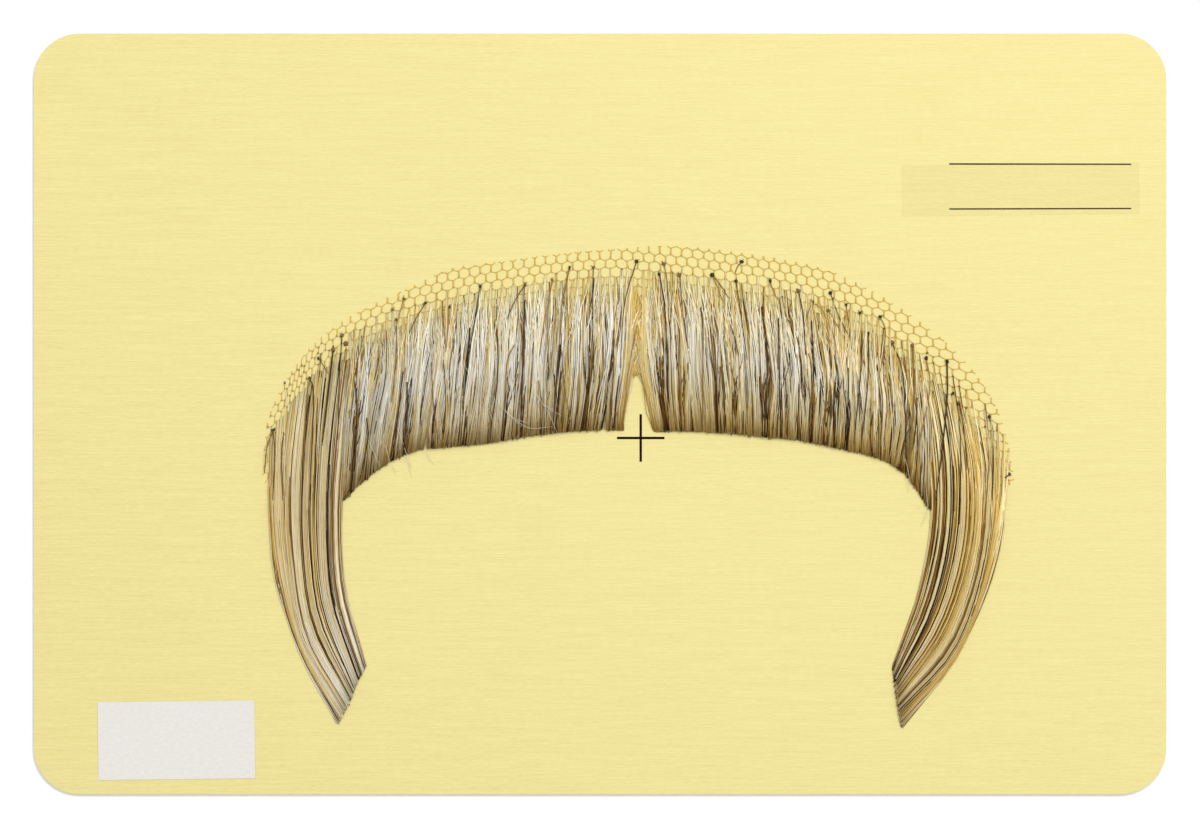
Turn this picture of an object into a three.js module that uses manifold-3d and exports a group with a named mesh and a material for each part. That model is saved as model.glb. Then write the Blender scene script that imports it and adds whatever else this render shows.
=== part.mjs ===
// A horseshoe-shaped false moustache of grey human hair, lying on the gold card that it is sold on.
//
// Millimetres. The card lies flat: X runs along its long side, Y up its short side and Z out of its
// printed face. The origin is the middle of the card's underside.
//
// Pieces: the card, a plain white sticker and a clear film sticker on it, the lace net that the
// moustache is knotted on, and the hair, which a parting under the nose divides into two halves.
// Each half is one tuft: short hair over the lip, cut along an arc, and a long drop beside the mouth
// that is cut off slantwise. A half is described by hair paths, listed from the parting outwards.
import * as THREE from "three";
import { mergeVertices } from "three/addons/utils/BufferGeometryUtils.js";
import Module from "manifold-3d";

// ---- Driving sizes -----------------------------------------------------------------------------
const CARD_LENGTH = 152.4; // 6 inches
const CARD_HEIGHT = 102.4;
const CARD_THICK = 0.5;
const CARD_CORNER = 6.2;
const LIE_GAP = 0.05; // air between two flat pieces that lie on each other

const LACE_THICK = 0.25;
const LACE_CLEAR = 0.3; // room that the hair leaves round the lace

const STICKER_THICK = 0.1;
const FILM_THICK = 0.06;
const WHITE_STICKER = { width: 21.1, height: 10.5, x: -57.0, y: -43.9, turn: 0.7 };
const CLEAR_STICKER = { width: 31.9, height: 6.8, x: 56.6, y: 30.2, turn: 0.7 };

const HAIR_AT_ROOT = 0.4; // depth of the hair where its first row is knotted in
const EDGE_DEPTH = 0.45; // share of the full depth that is left at a tuft's side edges
const FULL_AT_LIP = 0.5; // share of a path's length where the lip hair is deepest
const FULL_AT_DROP = 0.3;

const LIP_ACROSS = 30; // grid steps from the parting outwards
const LIP_ALONG = 14; // grid steps from root to tip
const DROP_ACROSS = 12;
const DROP_ALONG = 22;

// ---- Hair paths --------------------------------------------------------------------------------
// root: where the uppermost hairs are knotted. upper, middle, lower: evenly spaced along the hair.
// tip: on the cut. full: depth of the hair where it is deepest. end: depth at the cut.
const LEFT_LIP = [
  { root: [  5.01, 19.11], upper: [  4.60, 11.31], lower: [  3.53,  4.04], tip: [  3.12,  -2.15], full: 1.0, end: 0.7 },
  { root: [  1.64, 18.84], upper: [  1.37, 11.58], lower: [  0.83,  4.58], tip: [  0.03,  -2.15], full: 2.0, end: 1.2 },
  { root: [ -2.40, 18.44], upper: [ -2.53, 11.31], lower: [ -2.93,  4.31], tip: [ -3.61,  -2.29], full: 2.6, end: 1.5 },
  { root: [ -6.57, 17.90], upper: [ -6.70, 11.04], lower: [ -7.11,  3.90], tip: [ -7.51,  -2.69], full: 2.8, end: 1.6 },
  { root: [-10.74, 17.23], upper: [-10.88, 10.23], lower: [-11.28,  3.23], tip: [-11.82,  -3.36], full: 2.8, end: 1.6 },
  { root: [-14.78, 16.55], upper: [-15.05,  9.56], lower: [-15.45,  2.56], tip: [-16.12,  -4.04], full: 2.7, end: 1.5 },
  { root: [-18.82, 15.75], upper: [-19.22,  8.88], lower: [-19.89,  1.88], tip: [-20.57,  -4.44], full: 2.6, end: 1.5 },
  { root: [-22.85, 14.54], upper: [-23.39,  7.94], lower: [-24.20,  1.35], tip: [-25.01,  -4.98], full: 2.4, end: 1.4 },
  { root: [-26.76, 12.92], upper: [-27.43,  6.60], lower: [-28.24, -0.13], tip: [-29.05,  -7.00], full: 2.2, end: 1.3 },
  { root: [-30.12, 11.31], upper: [-30.79,  4.85], lower: [-31.74, -2.15], tip: [-32.68,  -9.69], full: 2.0, end: 1.2 },
  { root: [-33.22,  9.69], upper: [-33.89,  2.96], lower: [-34.56, -4.17], tip: [-34.97, -11.98], full: 1.7, end: 1.1 },
];
const LEFT_DROP = [
  { root: [-32.54,   9.96], upper: [-33.87,  -1.10], middle: [-34.88, -12.20], lower: [-34.41, -23.30], tip: [-31.60, -34.05], full: 1.7, end: 0.5 },
  { root: [-35.91,   7.94], upper: [-37.09,  -3.29], middle: [-37.54, -14.55], lower: [-36.66, -25.78], tip: [-32.81, -36.34], full: 1.7, end: 0.9 },
  { root: [-38.87,   5.11], upper: [-40.02,  -6.04], middle: [-40.18, -17.23], lower: [-38.60, -28.31], tip: [-33.62, -38.36], full: 1.5, end: 1.0 },
  { root: [-41.70,   1.62], upper: [-42.83,  -9.20], middle: [-42.29, -20.07], lower: [-40.05, -30.71], tip: [-34.43, -40.11], full: 1.2, end: 0.9 },
  { root: [-44.79,  -3.23], upper: [-44.48, -13.23], middle: [-43.22, -23.26], lower: [-39.90, -32.77], tip: [-35.24, -41.72], full: 0.7, end: 0.5 },
];
const RIGHT_LIP = [
  { root: [  5.41, 19.11], upper: [  5.41, 11.31], lower: [  5.81,  4.04], tip: [  7.03,  -2.29], full: 1.0, end: 0.7 },
  { root: [  8.78, 18.84], upper: [  9.18, 11.58], lower: [  9.72,  4.58], tip: [ 10.26,  -2.29], full: 2.0, end: 1.2 },
  { root: [ 12.81, 18.17], upper: [ 13.49, 11.31], lower: [ 14.02,  4.31], tip: [ 14.29,  -2.42], full: 2.6, end: 1.5 },
  { root: [ 16.85, 17.50], upper: [ 17.66, 10.77], lower: [ 18.20,  3.90], tip: [ 18.47,  -2.69], full: 2.8, end: 1.6 },
  { root: [ 20.89, 16.69], upper: [ 21.83,  9.96], lower: [ 22.37,  3.23], tip: [ 22.37,  -3.10], full: 2.8, end: 1.6 },
  { root: [ 24.93, 15.75], upper: [ 25.87,  9.15], lower: [ 26.41,  2.69], tip: [ 26.27,  -3.50], full: 2.7, end: 1.5 },
  { root: [ 28.83, 14.27], upper: [ 29.77,  8.08], lower: [ 30.31,  1.88], tip: [ 30.04,  -4.17], full: 2.6, end: 1.5 },
  { root: [ 32.73, 12.52], upper: [ 33.41,  6.60], lower: [ 33.81,  0.67], tip: [ 33.68,  -4.98], full: 2.4, end: 1.4 },
  { root: [ 36.37, 10.63], upper: [ 37.04,  4.98], lower: [ 37.31, -0.67], tip: [ 37.17,  -5.92], full: 2.2, end: 1.3 },
  { root: [ 39.87,  8.61], upper: [ 40.81,  3.10], lower: [ 41.08, -2.42], tip: [ 40.54,  -7.67], full: 2.0, end: 1.2 },
  { root: [ 43.10,  6.73], upper: [ 44.44,  0.27], lower: [ 44.71, -6.46], tip: [ 44.71, -13.32], full: 1.7, end: 1.1 },
];
const RIGHT_DROP = [
  { root: [ 42.15,   7.27], upper: [ 44.09,  -3.19], middle: [ 44.74, -13.80], lower: [ 42.88, -24.23], tip: [ 39.46, -34.19], full: 1.7, end: 0.5 },
  { root: [ 45.79,   4.58], upper: [ 47.64,  -5.97], middle: [ 47.52, -16.65], lower: [ 44.89, -26.98], tip: [ 39.73, -36.34], full: 1.7, end: 0.9 },
  { root: [ 48.62,   1.62], upper: [ 50.63,  -8.90], middle: [ 49.91, -19.59], lower: [ 46.45, -29.74], tip: [ 40.00, -38.36], full: 1.5, end: 1.0 },
  { root: [ 51.31,  -1.75], upper: [ 52.76, -12.13], middle: [ 51.34, -22.57], lower: [ 47.50, -32.43], tip: [ 40.27, -40.24], full: 1.2, end: 0.9 },
  { root: [ 54.67,  -6.86], upper: [ 53.98, -16.51], middle: [ 51.15, -25.86], lower: [ 46.68, -34.54], tip: [ 40.54, -42.13], full: 0.7, end: 0.5 },
];

// Dents between neighbouring locks. half: which tuft. x: where the dent meets the cut of the lip hair.
// wide: its width there. depth: share of the hair's depth that it takes away at the cut.
const DENTS = [
  { half: "left",  x:   0.4, wide: 1.2, depth: 0.55 },
  { half: "left",  x:  -6.1, wide: 1.0, depth: 0.40 },
  { half: "left",  x: -10.6, wide: 0.9, depth: 0.35 },
  { half: "left",  x: -18.0, wide: 1.2, depth: 0.45 },
  { half: "left",  x: -23.6, wide: 1.3, depth: 0.60 },
  { half: "left",  x: -27.0, wide: 1.6, depth: 0.55 },
  { half: "right", x:   9.2, wide: 1.2, depth: 0.45 },
  { half: "right", x:  15.8, wide: 1.0, depth: 0.35 },
  { half: "right", x:  22.3, wide: 1.2, depth: 0.45 },
  { half: "right", x:  26.5, wide: 1.2, depth: 0.50 },
  { half: "right", x:  31.9, wide: 1.2, depth: 0.45 },
  { half: "right", x:  38.2, wide: 1.2, depth: 0.40 },
];

// ---- Lace band ---------------------------------------------------------------------------------
// Stations from the left end to the right. cut: the net's trimmed outer edge. hem: its lower edge,
// which the hair covers except at the parting.
const LACE = [
  { cut: [-45.47, -9.15], hem: [-41.43, -10.50] },
  { cut: [-44.79, -1.48], hem: [-37.93,  -6.46] },
  { cut: [-42.37,  4.31], hem: [-34.97,  -3.23] },
  { cut: [-37.93,  9.96], hem: [-32.01,  -0.81] },
  { cut: [-32.28, 13.86], hem: [-28.24,   1.21] },
  { cut: [-25.55, 16.96], hem: [-23.53,   2.42] },
  { cut: [-20.16, 19.52], hem: [-18.82,   3.36] },
  { cut: [-13.43, 20.46], hem: [-12.76,   4.17] },
  { cut: [ -5.36, 21.53], hem: [ -5.09,   4.85] },
  { cut: [  2.72, 22.21], hem: [  2.72,   5.52] },
  { cut: [  8.10, 22.61], hem: [  7.70,   5.52] },
  { cut: [ 13.49, 22.34], hem: [ 13.08,   5.11] },
  { cut: [ 21.56, 21.27], hem: [ 20.75,   4.44] },
  { cut: [ 29.64, 19.65], hem: [ 28.56,   3.50] },
  { cut: [ 36.37, 16.69], hem: [ 33.94,   2.29] },
  { cut: [ 43.10, 12.38], hem: [ 38.52,   0.67] },
  { cut: [ 48.48,  7.81], hem: [ 42.29,  -1.48] },
  { cut: [ 52.52,  2.42], hem: [ 45.52,  -4.31] },
  { cut: [ 54.67, -2.96], hem: [ 48.48,  -7.27] },
  { cut: [ 55.75, -9.15], hem: [ 51.85, -11.04] },
];

// ---- Colours -----------------------------------------------------------------------------------
const gold = new THREE.MeshStandardMaterial({ color: 0xf0e296, roughness: 0.38, metalness: 0.6 });
const net = new THREE.MeshStandardMaterial({ color: 0xb89550, roughness: 0.8, metalness: 0.0 });
const greyHair = new THREE.MeshStandardMaterial({ color: 0xa8a196, roughness: 0.5, metalness: 0.0 });
const whitePaper = new THREE.MeshStandardMaterial({ color: 0xf1f1ee, roughness: 0.6, metalness: 0.0 });
const clearFilm = new THREE.MeshStandardMaterial({ color: 0xf5efc0, roughness: 0.3, metalness: 0.0 });

// ---- Small helpers -----------------------------------------------------------------------------
const mix = (a, b, t) => a + (b - a) * t;
const ease = (t) => {
  const c = Math.min(1, Math.max(0, t));
  return c * c * (3 - 2 * c);
};

// A smooth curve through evenly spaced numbers, read at t, counted in steps of the list.
function through(values, t) {
  const last = values.length - 1;
  const i = Math.min(last - 1, Math.max(0, Math.floor(t)));
  const f = t - i;
  const b = values[i];
  const c = values[i + 1];
  const a = i > 0 ? values[i - 1] : 2 * b - c;
  const d = i < last - 1 ? values[i + 2] : 2 * c - b;
  return (
    0.5 *
    (2 * b + (c - a) * f + (2 * a - 5 * b + 4 * c - d) * f * f + (3 * b - a - 3 * c + d) * f * f * f)
  );
}

// The hair path that lies `across` steps out from the first one of a table.
function pathAt(table, across) {
  const stations = ["root", "upper", "middle", "lower", "tip"].filter((key) => key in table[0]);
  const at = (key, k) => through(table.map((row) => row[key][k]), across);
  return {
    xs: stations.map((key) => at(key, 0)),
    ys: stations.map((key) => at(key, 1)),
    full: through(table.map((row) => row.full), across),
    end: through(table.map((row) => row.end), across),
  };
}

// Share of the depth left by the dents that cross a point at share `along` of a lip path whose tip is at x.
function dented(half, x, along) {
  let left = 1;
  for (const dent of DENTS) {
    if (dent.half !== half) continue;
    const off = (x - dent.x) / (0.5 * dent.wide);
    left -= dent.depth * Math.exp(-off * off) * ease((along - 0.35) / 0.65);
  }
  return Math.max(0.25, left);
}

// Merges coinciding corners, so that a closed geometry has no open seams.
function welded(geometry) {
  const bare = geometry.index ? geometry.toNonIndexed() : geometry;
  bare.deleteAttribute("normal");
  bare.deleteAttribute("uv");
  return mergeVertices(bare, 1e-4);
}

// A tuft's closed form: a flat underside at height `under`, and a top raised by the hair's depth.
function tuft(table, across, along, under, depthOf) {
  const top = [];
  const bottom = [];
  for (let i = 0; i <= across; i++) {
    const path = pathAt(table, ((table.length - 1) * i) / across);
    for (let j = 0; j <= along; j++) {
      const s = j / along;
      const x = through(path.xs, (path.xs.length - 1) * s);
      const y = through(path.ys, (path.ys.length - 1) * s);
      top.push([x, y, under + depthOf(path, i / across, s)]);
      bottom.push([x, y, under]);
    }
  }
  const id = (i, j) => i * (along + 1) + j;
  const shift = top.length;
  const faces = [];
  const quad = (a, b, c, d) => faces.push(a, b, c, a, c, d);
  for (let i = 0; i < across; i++)
    for (let j = 0; j < along; j++) {
      quad(id(i, j), id(i, j + 1), id(i + 1, j + 1), id(i + 1, j));
      quad(shift + id(i, j), shift + id(i + 1, j), shift + id(i + 1, j + 1), shift + id(i, j + 1));
    }
  const wall = (a, b) => quad(a, b, shift + b, shift + a);
  for (let j = 0; j < along; j++) {
    wall(id(0, j + 1), id(0, j));
    wall(id(across, j), id(across, j + 1));
  }
  for (let i = 0; i < across; i++) {
    wall(id(i, 0), id(i + 1, 0));
    wall(id(i + 1, along), id(i, along));
  }
  const geometry = new THREE.BufferGeometry();
  geometry.setAttribute("position", new THREE.Float32BufferAttribute([...top, ...bottom].flat(), 3));
  geometry.setIndex(faces);
  return geometry;
}

// ---- Solids that join and cut ------------------------------------------------------------------
const wasm = await Module();
wasm.setup();

function toSolid(geometry) {
  const g = welded(geometry);
  const vertProperties = new Float32Array(g.attributes.position.array);
  const triVerts = new Uint32Array(g.index.array);
  const solid = new wasm.Manifold(new wasm.Mesh({ numProp: 3, vertProperties, triVerts }));
  if (solid.volume() >= 0) return solid;
  for (let i = 0; i < triVerts.length; i += 3) [triVerts[i + 1], triVerts[i + 2]] = [triVerts[i + 2], triVerts[i + 1]];
  return new wasm.Manifold(new wasm.Mesh({ numProp: 3, vertProperties, triVerts }));
}

function toGeometry(solid) {
  const mesh = solid.getMesh();
  const geometry = new THREE.BufferGeometry();
  const places = new Float32Array(mesh.numVert * 3);
  for (let i = 0; i < mesh.numVert; i++)
    places.set(mesh.vertProperties.subarray(i * mesh.numProp, i * mesh.numProp + 3), i * 3);
  geometry.setAttribute("position", new THREE.BufferAttribute(places, 3));
  geometry.setIndex(new THREE.BufferAttribute(new Uint32Array(mesh.triVerts), 1));
  geometry.computeVertexNormals();
  return geometry;
}

// ---- Pieces ------------------------------------------------------------------------------------
const CARD_TOP = CARD_THICK;
const LACE_UNDER = CARD_TOP + LIE_GAP;
const LACE_TOP = LACE_UNDER + LACE_THICK;
const HAIR_UNDER = CARD_TOP + LIE_GAP;
const ON_LACE = LACE_TOP + LIE_GAP - HAIR_UNDER; // how far the lace lifts the hair's first row

function roundedRectangle(width, height, radius) {
  const shape = new THREE.Shape();
  const x = width / 2;
  const y = height / 2;
  shape.moveTo(-x + radius, -y);
  shape.lineTo(x - radius, -y);
  shape.absarc(x - radius, -y + radius, radius, -Math.PI / 2, 0, false);
  shape.lineTo(x, y - radius);
  shape.absarc(x - radius, y - radius, radius, 0, Math.PI / 2, false);
  shape.lineTo(-x + radius, y);
  shape.absarc(-x + radius, y - radius, radius, Math.PI / 2, Math.PI, false);
  shape.lineTo(-x, -y + radius);
  shape.absarc(-x + radius, -y + radius, radius, Math.PI, 1.5 * Math.PI, false);
  return shape;
}

// The lace band's outline, grown by `grow` past its cut edge, hem and ends.
function laceOutline(grow) {
  const steps = 3 * (LACE.length - 1);
  const edge = (key, far) => {
    const points = [];
    for (let k = 0; k <= steps; k++) {
      const t = (k * (LACE.length - 1)) / steps;
      const here = [0, 1].map((c) => through(LACE.map((row) => row[key][c]), t));
      const there = [0, 1].map((c) => through(LACE.map((row) => row[far][c]), t));
      const away = new THREE.Vector2(here[0] - there[0], here[1] - there[1]).setLength(grow);
      const end = k === 0 ? -grow : k === steps ? grow : 0;
      points.push(new THREE.Vector2(here[0] + away.x + end, here[1] + away.y));
    }
    return points;
  };
  return new THREE.Shape([...edge("cut", "hem").reverse(), ...edge("hem", "cut")]);
}

const extruded = (shape, depth) =>
  new THREE.ExtrudeGeometry(shape, { depth, bevelEnabled: false, curveSegments: 10 });

function mesh(name, geometry, material, x, y, z, turn = 0) {
  const made = new THREE.Mesh(geometry, material);
  made.name = name;
  made.position.set(x, y, z);
  made.rotation.z = THREE.MathUtils.degToRad(turn);
  return made;
}

// One half of the hair: the lip tuft and the drop joined, less the room that the lace takes.
function hairHalf(half, lip, drop) {
  const edges = (share) => EDGE_DEPTH + (1 - EDGE_DEPTH) * ease(Math.min(share, 1 - share) / 0.18);
  const swell = (path, s, fullAt) =>
    s < fullAt
      ? mix(HAIR_AT_ROOT, path.full, ease(s / fullAt))
      : mix(path.full, path.end, ease((s - fullAt) / (1 - fullAt)));
  const lipDepth = (path, share, s) =>
    ON_LACE * (1 - ease((s - 0.5) / 0.3)) + swell(path, s, FULL_AT_LIP) * dented(half, path.xs.at(-1), s);
  const dropDepth = (path, share, s) =>
    ON_LACE * (1 - ease((s - 0.3) / 0.3)) + swell(path, s, FULL_AT_DROP) * mix(1, edges(share), ease(s / 0.5));
  const whole = toSolid(tuft(lip, LIP_ACROSS, LIP_ALONG, HAIR_UNDER, lipDepth)).add(
    toSolid(tuft(drop, DROP_ACROSS, DROP_ALONG, HAIR_UNDER, dropDepth)),
  );
  const room = extruded(laceOutline(LACE_CLEAR), LACE_TOP + LIE_GAP);
  return toGeometry(whole.subtract(toSolid(room)));
}

const moustache = new THREE.Group();
moustache.add(
  mesh("lace_net", extruded(laceOutline(0), LACE_THICK), net, 0, 0, LACE_UNDER),
  mesh("hair_left", hairHalf("left", LEFT_LIP, LEFT_DROP), greyHair, 0, 0, 0),
  mesh("hair_right", hairHalf("right", RIGHT_LIP, RIGHT_DROP), greyHair, 0, 0, 0),
);

const card = new THREE.Group();
const sticker = (name, size, thick, material) =>
  mesh(name, new THREE.BoxGeometry(size.width, size.height, thick), material,
    size.x, size.y, CARD_TOP + LIE_GAP + thick / 2, size.turn);
card.add(
  mesh("backing_card", extruded(roundedRectangle(CARD_LENGTH, CARD_HEIGHT, CARD_CORNER), CARD_THICK), gold, 0, 0, 0),
  sticker("white_sticker", WHITE_STICKER, STICKER_THICK, whitePaper),
  sticker("clear_sticker", CLEAR_STICKER, FILM_THICK, clearFilm),
);

const part = new THREE.Group();
part.add(card, moustache);
export default part;
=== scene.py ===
# A false moustache of grey hair on its gold card, seen from straight above.
# All lengths in the tables are millimetres in the row frame: X along the card's long side, Y up its
# short side, Z out of its printed face, the origin in the middle of the card's underside.
import math

import bpy
import numpy as np
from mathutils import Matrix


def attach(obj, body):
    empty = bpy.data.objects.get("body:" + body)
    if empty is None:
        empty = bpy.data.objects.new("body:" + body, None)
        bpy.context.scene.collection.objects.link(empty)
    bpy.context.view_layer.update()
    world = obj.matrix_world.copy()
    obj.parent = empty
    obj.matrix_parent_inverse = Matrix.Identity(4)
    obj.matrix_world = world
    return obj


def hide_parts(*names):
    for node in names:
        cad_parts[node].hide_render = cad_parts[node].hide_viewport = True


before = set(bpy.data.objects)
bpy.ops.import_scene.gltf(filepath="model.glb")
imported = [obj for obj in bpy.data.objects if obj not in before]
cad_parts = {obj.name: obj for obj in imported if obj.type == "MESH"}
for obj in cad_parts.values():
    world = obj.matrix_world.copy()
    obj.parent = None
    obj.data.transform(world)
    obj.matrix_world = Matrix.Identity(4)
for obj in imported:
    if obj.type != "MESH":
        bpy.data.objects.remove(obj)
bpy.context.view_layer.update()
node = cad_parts
MM = 0.001

# ---- The card and what lies flat on it ---------------------------------------------------------
CARD_TOP = 0.5
LIE_GAP = 0.05
LACE_UNDER = CARD_TOP + LIE_GAP
LACE_THICK = 0.25
HAIR_UNDER = CARD_TOP + LIE_GAP
ON_LACE = 0.30  # how far the lace lifts the hair's first row
INK_THICK = 0.012

CROSS = {"x": 5.48, "y": -3.23, "half": 3.2, "line": 0.34}
RULES = [  # thin printed rules in the upper right corner
    {"x0": 47.0, "x1": 71.5, "y0": 33.65, "y1": 33.61, "line": 0.2},
    {"x0": 47.0, "x1": 71.5, "y0": 27.59, "y1": 27.66, "line": 0.2},
]

# ---- Hair paths, from the parting outwards -----------------------------------------------------
# root: where the uppermost hairs are knotted. upper, middle, lower: evenly spaced along the hair.
# tip: on the cut. full: depth of the hair where it is deepest. end: depth at the cut.
LIP = {
    "left": [
        {"root": (5.01, 19.11), "upper": (4.60, 11.31), "lower": (3.53, 4.04), "tip": (3.12, -2.15), "full": 1.0, "end": 0.7},
        {"root": (1.64, 18.84), "upper": (1.37, 11.58), "lower": (0.83, 4.58), "tip": (0.03, -2.15), "full": 2.0, "end": 1.2},
        {"root": (-2.40, 18.44), "upper": (-2.53, 11.31), "lower": (-2.93, 4.31), "tip": (-3.61, -2.29), "full": 2.6, "end": 1.5},
        {"root": (-6.57, 17.90), "upper": (-6.70, 11.04), "lower": (-7.11, 3.90), "tip": (-7.51, -2.69), "full": 2.8, "end": 1.6},
        {"root": (-10.74, 17.23), "upper": (-10.88, 10.23), "lower": (-11.28, 3.23), "tip": (-11.82, -3.36), "full": 2.8, "end": 1.6},
        {"root": (-14.78, 16.55), "upper": (-15.05, 9.56), "lower": (-15.45, 2.56), "tip": (-16.12, -4.04), "full": 2.7, "end": 1.5},
        {"root": (-18.82, 15.75), "upper": (-19.22, 8.88), "lower": (-19.89, 1.88), "tip": (-20.57, -4.44), "full": 2.6, "end": 1.5},
        {"root": (-22.85, 14.54), "upper": (-23.39, 7.94), "lower": (-24.20, 1.35), "tip": (-25.01, -4.98), "full": 2.4, "end": 1.4},
        {"root": (-26.76, 12.92), "upper": (-27.43, 6.60), "lower": (-28.24, -0.13), "tip": (-29.05, -7.00), "full": 2.2, "end": 1.3},
        {"root": (-30.12, 11.31), "upper": (-30.79, 4.85), "lower": (-31.74, -2.15), "tip": (-32.68, -9.69), "full": 2.0, "end": 1.2},
        {"root": (-33.22, 9.69), "upper": (-33.89, 2.96), "lower": (-34.56, -4.17), "tip": (-34.97, -11.98), "full": 1.7, "end": 1.1},
    ],
    "right": [
        {"root": (5.41, 19.11), "upper": (5.41, 11.31), "lower": (5.81, 4.04), "tip": (7.03, -2.29), "full": 1.0, "end": 0.7},
        {"root": (8.78, 18.84), "upper": (9.18, 11.58), "lower": (9.72, 4.58), "tip": (10.26, -2.29), "full": 2.0, "end": 1.2},
        {"root": (12.81, 18.17), "upper": (13.49, 11.31), "lower": (14.02, 4.31), "tip": (14.29, -2.42), "full": 2.6, "end": 1.5},
        {"root": (16.85, 17.50), "upper": (17.66, 10.77), "lower": (18.20, 3.90), "tip": (18.47, -2.69), "full": 2.8, "end": 1.6},
        {"root": (20.89, 16.69), "upper": (21.83, 9.96), "lower": (22.37, 3.23), "tip": (22.37, -3.10), "full": 2.8, "end": 1.6},
        {"root": (24.93, 15.75), "upper": (25.87, 9.15), "lower": (26.41, 2.69), "tip": (26.27, -3.50), "full": 2.7, "end": 1.5},
        {"root": (28.83, 14.27), "upper": (29.77, 8.08), "lower": (30.31, 1.88), "tip": (30.04, -4.17), "full": 2.6, "end": 1.5},
        {"root": (32.73, 12.52), "upper": (33.41, 6.60), "lower": (33.81, 0.67), "tip": (33.68, -4.98), "full": 2.4, "end": 1.4},
        {"root": (36.37, 10.63), "upper": (37.04, 4.98), "lower": (37.31, -0.67), "tip": (37.17, -5.92), "full": 2.2, "end": 1.3},
        {"root": (39.87, 8.61), "upper": (40.81, 3.10), "lower": (41.08, -2.42), "tip": (40.54, -7.67), "full": 2.0, "end": 1.2},
        {"root": (43.10, 6.73), "upper": (44.44, 0.27), "lower": (44.71, -6.46), "tip": (44.71, -13.32), "full": 1.7, "end": 1.1},
    ],
}
DROP = {
    "left": [
        {"root": (-32.54, 9.96), "upper": (-33.87, -1.10), "middle": (-34.88, -12.20), "lower": (-34.41, -23.30), "tip": (-31.60, -34.05), "full": 1.7, "end": 0.5},
        {"root": (-35.91, 7.94), "upper": (-37.09, -3.29), "middle": (-37.54, -14.55), "lower": (-36.66, -25.78), "tip": (-32.81, -36.34), "full": 1.7, "end": 0.9},
        {"root": (-38.87, 5.11), "upper": (-40.02, -6.04), "middle": (-40.18, -17.23), "lower": (-38.60, -28.31), "tip": (-33.62, -38.36), "full": 1.5, "end": 1.0},
        {"root": (-41.70, 1.62), "upper": (-42.83, -9.20), "middle": (-42.29, -20.07), "lower": (-40.05, -30.71), "tip": (-34.43, -40.11), "full": 1.2, "end": 0.9},
        {"root": (-44.79, -3.23), "upper": (-44.48, -13.23), "middle": (-43.22, -23.26), "lower": (-39.90, -32.77), "tip": (-35.24, -41.72), "full": 0.7, "end": 0.5},
    ],
    "right": [
        {"root": (42.15, 7.27), "upper": (44.09, -3.19), "middle": (44.74, -13.80), "lower": (42.88, -24.23), "tip": (39.46, -34.19), "full": 1.7, "end": 0.5},
        {"root": (45.79, 4.58), "upper": (47.64, -5.97), "middle": (47.52, -16.65), "lower": (44.89, -26.98), "tip": (39.73, -36.34), "full": 1.7, "end": 0.9},
        {"root": (48.62, 1.62), "upper": (50.63, -8.90), "middle": (49.91, -19.59), "lower": (46.45, -29.74), "tip": (40.00, -38.36), "full": 1.5, "end": 1.0},
        {"root": (51.31, -1.75), "upper": (52.76, -12.13), "middle": (51.34, -22.57), "lower": (47.50, -32.43), "tip": (40.27, -40.24), "full": 1.2, "end": 0.9},
        {"root": (54.67, -6.86), "upper": (53.98, -16.51), "middle": (51.15, -25.86), "lower": (46.68, -34.54), "tip": (40.54, -42.13), "full": 0.7, "end": 0.5},
    ],
}
EDGE_DEPTH = 0.45  # share of the full depth that is left at a drop's side edges

# Lace band, from the left end to the right. cut: trimmed outer edge. hem: lower edge.
LACE = [
    {"cut": (-45.47, -9.15), "hem": (-41.43, -10.50)},
    {"cut": (-44.79, -1.48), "hem": (-37.93, -6.46)},
    {"cut": (-42.37, 4.31), "hem": (-34.97, -3.23)},
    {"cut": (-37.93, 9.96), "hem": (-32.01, -0.81)},
    {"cut": (-32.28, 13.86), "hem": (-28.24, 1.21)},
    {"cut": (-25.55, 16.96), "hem": (-23.53, 2.42)},
    {"cut": (-20.16, 19.52), "hem": (-18.82, 3.36)},
    {"cut": (-13.43, 20.46), "hem": (-12.76, 4.17)},
    {"cut": (-5.36, 21.53), "hem": (-5.09, 4.85)},
    {"cut": (2.72, 22.21), "hem": (2.72, 5.52)},
    {"cut": (8.10, 22.61), "hem": (7.70, 5.52)},
    {"cut": (13.49, 22.34), "hem": (13.08, 5.11)},
    {"cut": (21.56, 21.27), "hem": (20.75, 4.44)},
    {"cut": (29.64, 19.65), "hem": (28.56, 3.50)},
    {"cut": (36.37, 16.69), "hem": (33.94, 2.29)},
    {"cut": (43.10, 12.38), "hem": (38.52, 0.67)},
    {"cut": (48.48, 7.81), "hem": (42.29, -1.48)},
    {"cut": (52.52, 2.42), "hem": (45.52, -4.31)},
    {"cut": (54.67, -2.96), "hem": (48.48, -7.27)},
    {"cut": (55.75, -9.15), "hem": (51.85, -11.04)},
]
MESH_PITCH = 1.467  # across the net, from one upright thread to the next
MESH_ROW = 1.17  # from one row of the net to the next
UPRIGHT = 0.84  # length of an upright thread; the slanting ones rise by the rest of a row
THREAD = {"upright": 0.17, "slant": 0.092}  # widths

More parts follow.
